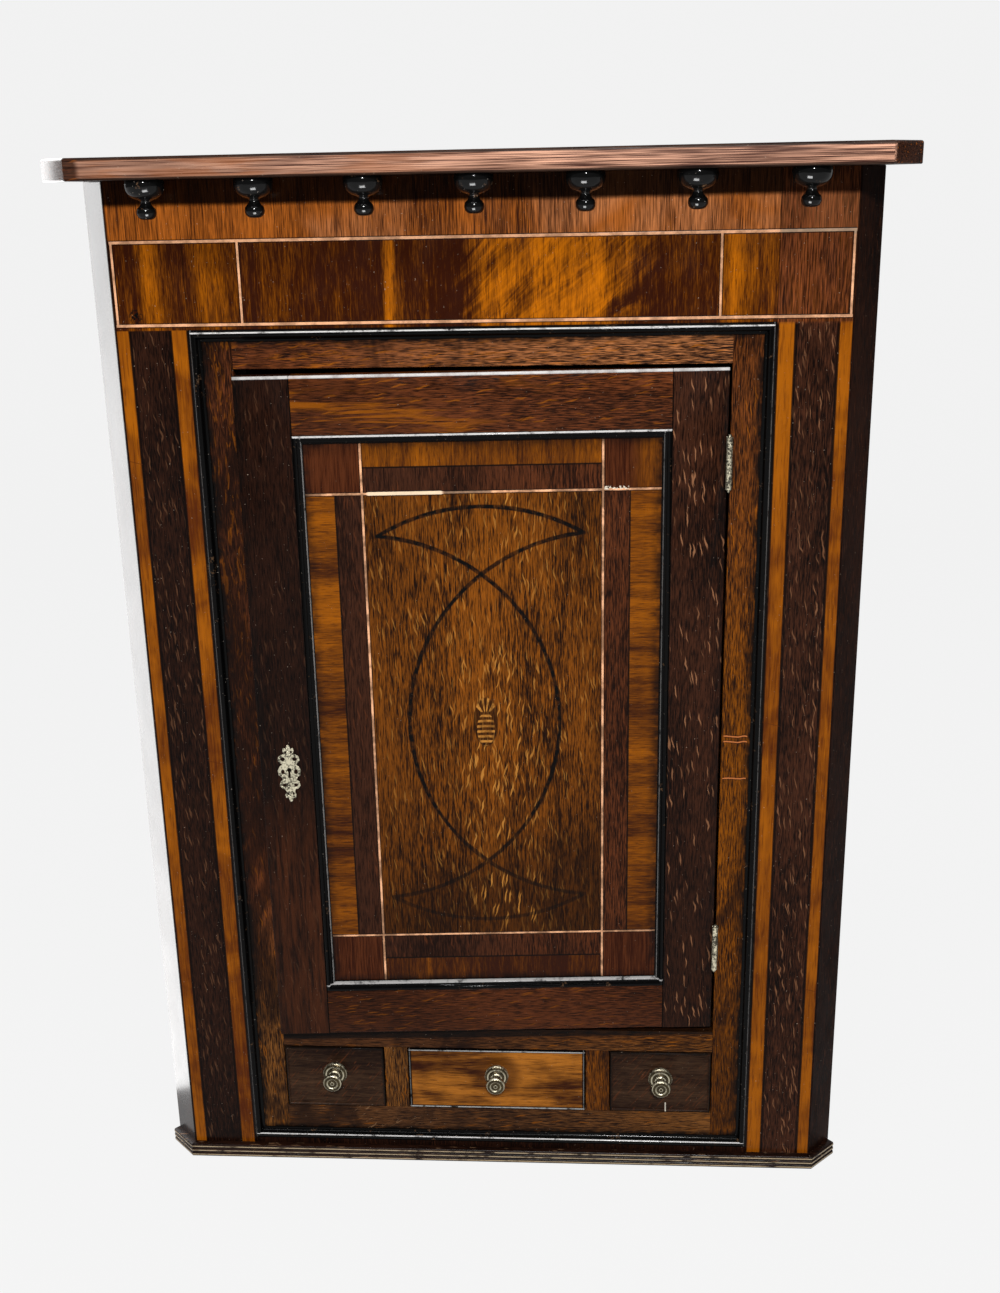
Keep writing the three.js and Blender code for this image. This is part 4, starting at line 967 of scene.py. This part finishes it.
def clean(shape):
    bmesh.ops.remove_doubles(shape, verts=shape.verts, dist=MERGE_DISTANCE)
    bmesh.ops.recalc_face_normals(shape, faces=shape.faces)


def bevel(shape, edges, width, segments):
    bmesh.ops.bevel(shape, geom=edges, offset=width, offset_type="OFFSET", segments=segments,
                    profile=0.5, affect="EDGES", clamp_overlap=True, material=-1)


def soften(shape, width, segments=2):
    """Rounds every edge that turns by more than 50 degrees."""
    bevel(shape, [e for e in shape.edges if len(e.link_faces) == 2
                  and e.calc_face_angle(0.0) > math.radians(50)], width, segments)


def merged_copy(name):
    """A merged copy of a CAD node's triangles, with its flat faces joined."""
    shape = bmesh.new()
    shape.from_mesh(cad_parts[name].data)
    clean(shape)
    bmesh.ops.dissolve_limit(shape, angle_limit=math.radians(1.0), verts=shape.verts,
                             edges=shape.edges, use_dissolve_boundaries=False)
    return shape


def dress(look_name, *names):
    """Gives CAD nodes a finish, and softened arrises by modifiers."""
    for name in names:
        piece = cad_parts[name]
        piece.data.materials.clear()
        piece.data.materials.append(look(look_name))
        piece.modifiers.new("merge", "WELD").merge_threshold = MERGE_DISTANCE
        arris = piece.modifiers.new("arris", "BEVEL")
        arris.width = sizes().arris
        arris.segments = 2
        arris.limit_method = "ANGLE"
        arris.angle_limit = math.radians(35)


def round_outer_arris(shape):
    """Rounds the front arris that runs round the outside of the closed door."""
    closing = DOOR_PLACE.inverted()

    def on_rim(vert):
        at = closing @ vert.co
        if abs(at.y - DOOR_LOW.y) > 0.0003:
            return set()
        sides = {"left": at.x - DOOR_LOW.x, "right": DOOR_HIGH.x - at.x,
                 "low": at.z - DOOR_LOW.z, "high": DOOR_HIGH.z - at.z}
        return {side for side, gap in sides.items() if abs(gap) < 0.0004}
    edges = [e for e in shape.edges if on_rim(e.verts[0]) & on_rim(e.verts[1])]
    bevel(shape, edges, sizes().door_round, 4)


def section_strip(section, place, run, low_cut, high_cut):
    """Extrudes a section along a run and cuts each end by a plane.

    section holds (out, up) pairs; place turns (along, out, up) into a point. Each cut is a
    point and an outward normal."""
    shape = bmesh.new()
    face = shape.faces.new([shape.verts.new(place(run[0], out, up)) for out, up in section])
    grown = bmesh.ops.extrude_face_region(shape, geom=[face])
    moved = [v for v in grown["geom"] if isinstance(v, bmesh.types.BMVert)]
    bmesh.ops.translate(shape, verts=moved, vec=place(run[1], 0, 0) - place(run[0], 0, 0))
    for point, normal in (low_cut, high_cut):
        cut = bmesh.ops.bisect_plane(shape, geom=shape.verts[:] + shape.edges[:] + shape.faces[:],
                                     plane_co=point, plane_no=normal, clear_outer=True)
        edges = [e for e in cut["geom_cut"] if isinstance(e, bmesh.types.BMEdge)]
        bmesh.ops.holes_fill(shape, edges=edges)
    clean(shape)
    return shape


def quarter(centre, radii, start_deg, end_deg, steps):
    """Points along a part of an ellipse."""
    turns = [math.radians(start_deg + (end_deg - start_deg) * i / steps)
             for i in range(steps + 1)]
    return [(centre[0] + radii[0] * math.cos(turn), centre[1] + radii[1] * math.sin(turn))
            for turn in turns]


def front_place(along, out, up):
    return Vector((along, FRONT_PLANE - out, up))


def return_place(sign, along, out, up):
    return Vector((sign * (HALF_FRONT + ROOT_HALF * (along + out)),
                   FRONT_PLANE + ROOT_HALF * (along - out), up))


def mitre_at(sign):
    """The upright plane through a canted corner, halving the turn."""
    half = math.radians(22.5)
    point = Vector((sign * HALF_FRONT, FRONT_PLANE, 0.0))
    return point, Vector((sign * math.cos(half), math.sin(half), 0.0))


def front_strip(section):
    """A moulding along the front, mitred at both canted corners."""
    uncut = HALF_FRONT * 1.2
    return section_strip(section, front_place, (-uncut, uncut), mitre_at(-1), mitre_at(1))


def return_strip(section, sign, run):
    """A moulding along a canted return, mitred at the front and square at its far end."""
    place = partial(return_place, sign)
    point, normal = mitre_at(sign)
    end = (place(run, 0, 0), place(1, 0, 0) - place(0, 0, 0))
    uncut = 0.1
    return section_strip(section, place, (-uncut, uncut), (point, -normal), end)


def turned_shape(profile, centre, axis):
    """Spins a profile of (radius, height) about an axis through centre."""
    shape = bmesh.new()
    side = Vector((1.0, 0.0, 0.0))
    verts = [shape.verts.new(centre + side * r + axis * h) for r, h in profile]
    edges = [shape.edges.new(pair) for pair in zip(verts, verts[1:])]
    bmesh.ops.spin(shape, geom=verts + edges, cent=centre, axis=axis, dvec=(0, 0, 0),
                   angle=math.tau, steps=sizes().turning_steps, use_merge=True,
                   use_duplicate=False)
    clean(shape)
    return shape


def smooth_profile(points, steps=3):
    """Runs a rounded line through turning points, kept inside their own reach."""
    line = [points[0]]
    for i in range(len(points) - 1):
        before, after = points[max(i - 1, 0)], points[min(i + 2, len(points) - 1)]
        for k in range(1, steps + 1):
            t = k / steps
            value = []
            for p0, p1, p2, p3 in zip(before, points[i], points[i + 1], after):
                m1, m2 = (p2 - p0) * 0.35, (p3 - p1) * 0.35
                value.append((2 * t**3 - 3 * t**2 + 1) * p1 + (t**3 - 2 * t**2 + t) * m1
                             + (3 * t**2 - 2 * t**3) * p2 + (t**3 - t**2) * m2)
            line.append((max(value[0], 0.0), value[1]))
    return line


# Operators: one for each piece or group of like pieces

class CupboardStep(bpy.types.Operator):
    bl_options = {"REGISTER", "UNDO"}


class CUPBOARD_OT_boards(CupboardStep):
    """Finishes the flat boards of the case and of the centre frame"""
    bl_idname = "cupboard.boards"
    bl_label = "Boards"

    def execute(self, context):
        dress("front_veneer", "stile_left", "stile_right", "frieze_rail")
        dress("dark_oak", "return_left", "return_right", "base_rail")
        dress("frame_upright", "frame_stile_left", "frame_stile_right", "drawer_muntin_left",
              "drawer_muntin_right")
        dress("frame_level", "frame_top_rail", "frame_mid_rail", "frame_bottom_rail")
        dress("pine_upright", "back_board_left", "back_board_right", "corner_post")
        dress("pine_level", "top_board", "bottom_board", "drawer_deck", "shelf_lower",
              "shelf_upper")
        return {"FINISHED"}


class CUPBOARD_OT_cornice(CupboardStep):
    """Models the cornice with rounded arrises and rounded far ends"""
    bl_idname = "cupboard.cornice"
    bl_label = "Cornice"

    def execute(self, context):
        low, high, out, back = CORNICE_LOW, CORNICE_HIGH, CORNICE_OUT, -0.02
        top, under = sizes().cornice_round, sizes().cornice_round * 0.5
        section = [(back, low)] + quarter((out - under, low + under), (under, under), -90, 0, 4) \
            + quarter((out - top, high - top), (top, top), 0, 90, 5) + [(back, high)]
        finished("cornice_front_dressed", front_strip(section), "cornice_oak", "case",
                 "cornice_front")
        for side, sign in SIDES:
            lowest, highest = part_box(f"cornice_return_{side}")
            far = highest.x if sign > 0 else -lowest.x
            run = math.sqrt(2) * (far - HALF_FRONT) - out
            shape = return_strip(section, sign, run)
            close = 0.004
            corner = [e for e in shape.edges
                      if all((v.co - return_place(sign, run, out, v.co.z)).length < close
                             for v in e.verts)
                      and abs(e.verts[0].co.z - e.verts[1].co.z) > close]
            bevel(shape, corner, sizes().cornice_end_round, 6)
            finished(f"cornice_return_{side}_dressed", shape, "cornice_oak", "case",
                     f"cornice_return_{side}")
        return {"FINISHED"}


class CUPBOARD_OT_plinth(CupboardStep):
    """Models the reeded plinth moulding"""
    bl_idname = "cupboard.plinth"
    bl_label = "Plinth"

    def execute(self, context):
        out, roll, pitch = 0.0075, 0.0013, PLINTH_HIGH / REEDS
        return_wide = 0.026
        section = [(0.0, 0.0)]
        for i in range(REEDS):
            section += quarter((out - roll, pitch * (i + 0.5)), (roll, pitch * 0.47), -90, 90, 8)
        section.append((0.0, PLINTH_HIGH))
        finished("plinth_front_dressed", front_strip(section), "reeded_plinth", "case",
                 "plinth_front")
        for side, sign in SIDES:
            shape = return_strip(section, sign, return_wide / ROOT_HALF)
            finished(f"plinth_return_{side}_dressed", shape, "reeded_plinth", "case",
                     f"plinth_return_{side}")
        return {"FINISHED"}


class CUPBOARD_OT_bead(CupboardStep):
    """Models the ebonised bead round the centre frame, mitred at its corners"""
    bl_idname = "cupboard.bead"
    bl_label = "Bead"

    def execute(self, context):
        wide, crest, face, roll, step = 0.011, 0.005, 0.004, 0.0032, 0.0006
        centre = 0.0012 + roll
        # (inwards, depth) pairs, depth growing backwards
        section = [(0.0, face), (0.0, roll - crest)] \
            + quarter((centre, roll - crest), (roll, -roll), 180, 0, 14)[1:] \
            + [(centre + roll, -step)] \
            + quarter((wide, -step), (wide - centre - roll, face - 2 * step), 180, 90, 8)[1:] \
            + [(wide, face)]
        side, low, high, spare = 0.279, 0.024, 0.933, 0.02
        right, up = Vector((1, 0, 0)), Vector((0, 0, 1))
        for name, corner, way, inward, span in (
                ("bead_bottom", (-side, 0, low), right, up, 2 * side),
                ("bead_top", (-side, 0, high), right, -up, 2 * side),
                ("bead_left", (-side, 0, low), up, right, high - low),
                ("bead_right", (side, 0, low), up, -right, high - low)):
            corner = Vector(corner)

            def place(along, out, depth, corner=corner, way=way, inward=inward):
                return corner + way * along + inward * out + Vector((0, FRONT_PLANE + depth, 0))
            # Each mitre keeps the side where the strip runs on inwards.
            shape = section_strip(section, place, (-spare, span + spare),
                                  (corner, (inward - way) * ROOT_HALF),
                                  (corner + way * span, (inward + way) * ROOT_HALF))
            finished(name + "_dressed", shape, "ebonised_bead", "case", name)
        return {"FINISHED"}


class CUPBOARD_OT_pendants(CupboardStep):
    """Turns the drops under the cornice"""
    bl_idname = "cupboard.pendants"
    bl_label = "Pendant drops"

    def execute(self, context):
        radius, drop = 0.018, 0.035
        shares = [(0, 0), (0.28, 0.012), (0.44, 0.07), (0.51, 0.17), (0.47, 0.275),
                  (0.34, 0.345), (0.27, 0.4), (0.25, 0.45), (0.32, 0.49), (0.56, 0.53),
                  (0.8, 0.6), (0.94, 0.7), (1, 0.82), (1, 0.93), (0.95, 1)]
        profile = smooth_profile([(r * radius, h * drop) for r, h in shares]) + [(0.0, drop)]
        for i in DROPS:
            low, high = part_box(f"pendant_drop_{i}")
            centre = Vector(((low.x + high.x) / 2, (low.y + high.y) / 2, low.z))
            finished(f"pendant_{i}_turned", turned_shape(profile, centre, Vector((0, 0, 1))),
                     "ebonised_drop", "case", f"pendant_drop_{i}", 50)
        return {"FINISHED"}


class CUPBOARD_OT_door(CupboardStep):
    """Rounds and finishes the door's frame, and finishes its panel and moulding"""
    bl_idname = "cupboard.door"
    bl_label = "Door"

    def execute(self, context):
        for name, look_name in (
                ("door_lock_stile", "door_upright"), ("door_hinge_stile", "door_upright"),
                ("door_top_rail", "door_level"), ("door_bottom_rail", "door_level")):
            shape = merged_copy(name)
            round_outer_arris(shape)
            soften(shape, sizes().arris)
            finished(name + "_dressed", shape, look_name, "door", name, 30)
        dress("inlaid_panel", "door_panel")
        finished("door_moulding_dressed", merged_copy("door_moulding"), "ebonised_moulding",
                 "door", "door_moulding", 40)
        return {"FINISHED"}


class CUPBOARD_OT_escutcheon(CupboardStep):
    """Softens the edges of the pierced escutcheon"""
    bl_idname = "cupboard.escutcheon"
    bl_label = "Escutcheon"

    def execute(self, context):
        shape = merged_copy("escutcheon")
        soften(shape, 0.00035)
        finished("escutcheon_dressed", shape, "rubbed_brass", "door", "escutcheon",
                 40)
        return {"FINISHED"}


class CUPBOARD_OT_hinges(CupboardStep):
    """Softens the edges of the butt hinges"""
    bl_idname = "cupboard.hinges"
    bl_label = "Hinges"

    def execute(self, context):
        for level in ("lower", "upper"):
            for leaf, body in (("frame", "case"), ("door", "door")):
                name = f"hinge_{level}_{leaf}_leaf"
                shape = merged_copy(name)
                soften(shape, 0.0002, 1)
                finished(name + "_dressed", shape, "rubbed_brass", body, name, 40)
        return {"FINISHED"}


class CUPBOARD_OT_lock(CupboardStep):
    """Finishes the lock case and its bolt"""
    bl_idname = "cupboard.lock"
    bl_label = "Lock"

    def execute(self, context):
        dress("dark_iron", "lock_case")
        dress("rubbed_brass", "lock_bolt")
        return {"FINISHED"}


class CUPBOARD_OT_drawers(CupboardStep):
    """Finishes the drawers: fronts with a cockbead, and pine boxes"""
    bl_idname = "cupboard.drawers"
    bl_label = "Drawers"

    def execute(self, context):
        for side in DRAWERS:
            name = f"drawer_front_{side}"
            finished(name + "_dressed", merged_copy(name),
                     "drawer_flame" if side == "middle" else "drawer_dark", f"drawer_{side}",
                     name, 30)
            dress("pine_level", f"drawer_box_{side}")
        return {"FINISHED"}


class CUPBOARD_OT_knobs(CupboardStep):
    """Turns the brass drawer knobs"""
    bl_idname = "cupboard.knobs"
    bl_label = "Knobs"

    def execute(self, context):
        front, plate, reach = 0.0106, 0.0135, 0.023
        face = [(0, 0.02), (0.2, 0.02), (0.24, 0.045), (0.5, 0.04), (0.58, 0.0), (0.74, 0.0),
                (0.9, 0.03), (0.985, 0.09), (1.0, 0.155), (0.93, 0.235), (0.64, 0.315),
                (0.42, 0.41), (0.36, 0.52), (0.42, 0.63), (0.6, 0.7)]
        base = [(0.62, 0.745), (0.66, 0.775), (0.84, 0.79), (0.93, 0.83), (0.99, 0.88),
                (1.0, 0.94), (0.985, 1.0)]
        profile = smooth_profile([(r * front, h * reach) for r, h in face]
                                 + [(r * plate, h * reach) for r, h in base]) + [(0.0, reach)]
        for side in DRAWERS:
            low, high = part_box(f"drawer_knob_{side}")
            centre = Vector(((low.x + high.x) / 2, low.y, (low.z + high.z) / 2))
            finished(f"knob_{side}_turned", turned_shape(profile, centre, Vector((0, 1, 0))),
                     "turned_brass", f"drawer_{side}", f"drawer_knob_{side}", 40)
        return {"FINISHED"}


class CUPBOARD_OT_stage(CupboardStep):
    """Sets the pale floor and backdrop, the studio lights and the camera"""
    bl_idname = "cupboard.stage"
    bl_label = "Stage"

    def execute(self, context):
        bpy.context.scene.view_settings.view_transform = "Standard"
        self.lay_floor()
        self.set_world()
        key = self.hang_light("key", (0.3, -3.4, 2.72), (0.0, -0.17, 0.6), (0.28, 0.28), 156)
        self.hang_light("sky", (0.0, -1.45, 3.25), (0.0, -0.17, 0.8), (2.4, 0.3), 44)
        window = self.hang_light("left_window", (-0.4646, -0.108, 0.62), (-0.37, -0.14, 0.62),
                                 (0.12, 1.3), 2.75)
        glint = self.hang_light("drop_glint", (-0.05, -0.95, 0.42), (0.0, -0.2, 1.05),
                                (0.5, 0.35), 20)
        drops = [f"pendant_{i}_turned" for i in DROPS]
        # Two lamps are kept for a few pieces, and show as a reflection in them alone.
        window.light_linking.receiver_collection = self.gathered(
            "left_window_lit", ["return_left", "cornice_return_left_dressed",
                                "plinth_return_left_dressed"])
        glint.light_linking.receiver_collection = self.gathered("drop_glint_lit", drops)
        # The drops throw no shadow in the light of the key lamp.
        clear = self.gathered("key_clear", drops)
        for entry in clear.collection_objects:
            entry.light_linking.link_state = "EXCLUDE"
        key.light_linking.blocker_collection = clear
        self.place_camera()
        return {"FINISHED"}

    def gathered(self, name, names):
        group = bpy.data.collections.new(name)
        for each in names:
            group.objects.link(bpy.data.objects[each])
        return group

    def lay_floor(self):
        """A floor that curves up into a backdrop."""
        wide, front, back, curve, top = 18.0, -6.0, 3.0, 1.5, 7.0
        shape = bmesh.new()
        line = [(front, 0.0), (back, 0.0)] \
            + quarter((back, curve), (curve, curve), -90, 0, 12)[1:] + [(back + curve, top)]
        verts = [shape.verts.new((-wide / 2, y, z)) for y, z in line]
        edges = [shape.edges.new(pair) for pair in zip(verts, verts[1:])]
        grown = bmesh.ops.extrude_edge_only(shape, edges=edges)
        moved = [v for v in grown["geom"] if isinstance(v, bmesh.types.BMVert)]
        bmesh.ops.translate(shape, verts=moved, vec=(wide, 0.0, 0.0))
        bmesh.ops.recalc_face_normals(shape, faces=shape.faces)
        mesh = bpy.data.meshes.new("floor")
        shape.to_mesh(mesh)
        shape.free()
        mesh.shade_smooth()
        floor = bpy.data.objects.new("floor", mesh)
        bpy.context.scene.collection.objects.link(floor)
        made = bpy.data.materials.new("pale_floor")
        made.use_nodes = True
        tree = made.node_tree
        tree.nodes.clear()
        out = tree.nodes.new("ShaderNodeOutputMaterial")
        matt = tree.nodes.new("ShaderNodeBsdfDiffuse")
        feed(matt.inputs["Color"], scaled(colours().floor, 0.42))
        glow = tree.nodes.new("ShaderNodeEmission")
        feed(glow.inputs["Color"], colours().floor)
        rays = tree.nodes.new("ShaderNodeLightPath").outputs
        seen = Value(rays["Is Camera Ray"]) | Value(rays["Is Glossy Ray"]) \
            | Value(rays["Is Transmission Ray"])
        self.blend(matt, glow, seen * 0.91, out)
        mesh.materials.append(made)

    def set_world(self):
        """A dim even fill that the camera sees as a pale grey."""
        world = bpy.data.worlds.new("studio")
        bpy.context.scene.world = world
        world.use_nodes = True
        tree = world.node_tree
        tree.nodes.clear()
        out = tree.nodes.new("ShaderNodeOutputWorld")
        fill, seen = [tree.nodes.new("ShaderNodeBackground") for _ in range(2)]
        for light, tone, strength in ((fill, 240, 0.13), (seen, 241, 1.0)):
            feed(light.inputs["Color"], shade(tone, tone, tone))
            light.inputs["Strength"].default_value = strength
        path = tree.nodes.new("ShaderNodeLightPath")
        self.blend(fill, seen, Value(path.outputs["Is Camera Ray"]), out)

    def blend(self, first, second, factor, out):
        """Mixes two shaders into an output."""
        mix = node("MixShader", {0: factor, 1: Value(first.outputs[0]),
                                 2: Value(second.outputs[0])})
        feed(out.inputs[0], Value(mix.outputs[0]))

    def hang_light(self, name, place, target, size, power):
        lamp = bpy.data.lights.new(name, "AREA")
        lamp.shape = "RECTANGLE"
        lamp.size, lamp.size_y = size
        lamp.energy = power
        light = bpy.data.objects.new(name, lamp)
        light.visible_camera = False
        light.location = place
        aim = Vector(target) - Vector(place)
        light.rotation_euler = aim.to_track_quat("-Z", "Y").to_euler()
        bpy.context.scene.collection.objects.link(light)
        return light

    def place_camera(self):
        """The photograph's own viewpoint, found by fitting the cupboard's edges."""
        yaw, pitch, roll = 0.06484, 0.3095, -0.02032
        sensor, picture_high, focal = 36.0, 1293, 1422.24
        forward = Vector((-math.sin(yaw) * math.cos(pitch), math.cos(yaw) * math.cos(pitch),
                          -math.sin(pitch)))
        level = Vector((math.cos(yaw), math.sin(yaw), 0.0))
        upward = level.cross(forward)
        right = math.cos(roll) * level + math.sin(roll) * upward
        up = -math.sin(roll) * level + math.cos(roll) * upward
        data = bpy.data.cameras.new("camera")
        data.sensor_fit = "AUTO"
        data.sensor_width = sensor
        data.lens = focal / picture_high * sensor
        data.clip_start, data.clip_end = 0.05, 60.0
        camera = bpy.data.objects.new("camera", data)
        axes = Matrix((right, up, -forward)).transposed()
        camera.matrix_world = Matrix.Translation((0.10263, -1.36825 + FRONT_PLANE, 1.05369)) \
            @ axes.to_4x4()
        bpy.context.scene.collection.objects.link(camera)
        bpy.context.scene.camera = camera


class CUPBOARD_PT_sidebar(bpy.types.Panel):
    """Lists the steps and their settings"""
    bl_idname = "CUPBOARD_PT_sidebar"
    bl_label = "Corner cupboard"
    bl_space_type = "VIEW_3D"
    bl_region_type = "UI"
    bl_category = "Cupboard"

    def draw(self, context):
        column = self.layout.column(align=True)
        for step in STEPS:
            column.operator(step.bl_idname)
        for settings in (context.scene.cupboard_sizes, context.scene.cupboard_colours):
            box = self.layout.box()
            for name in settings.bl_rna.properties.keys():
                if name not in ("rna_type", "name"):
                    box.prop(settings, name)


STEPS = (
    CUPBOARD_OT_boards, CUPBOARD_OT_cornice, CUPBOARD_OT_plinth, CUPBOARD_OT_bead,
    CUPBOARD_OT_pendants, CUPBOARD_OT_door, CUPBOARD_OT_escutcheon, CUPBOARD_OT_hinges,
    CUPBOARD_OT_lock, CUPBOARD_OT_drawers, CUPBOARD_OT_knobs, CUPBOARD_OT_stage,
)
CLASSES = (CupboardSizes, CupboardColours, *STEPS, CUPBOARD_PT_sidebar)


def register():
    for cls in CLASSES:
        bpy.utils.register_class(cls)
    bpy.types.Scene.cupboard_sizes = PointerProperty(type=CupboardSizes)
    bpy.types.Scene.cupboard_colours = PointerProperty(type=CupboardColours)


def unregister():
    del bpy.types.Scene.cupboard_colours
    del bpy.types.Scene.cupboard_sizes
    for cls in reversed(CLASSES):
        bpy.utils.unregister_class(cls)


def main():
    register()
    for step in STEPS:
        space, name = step.bl_idname.split(".")
        getattr(getattr(bpy.ops, space), name)()
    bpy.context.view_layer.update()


if __name__ == "__main__":
    main()
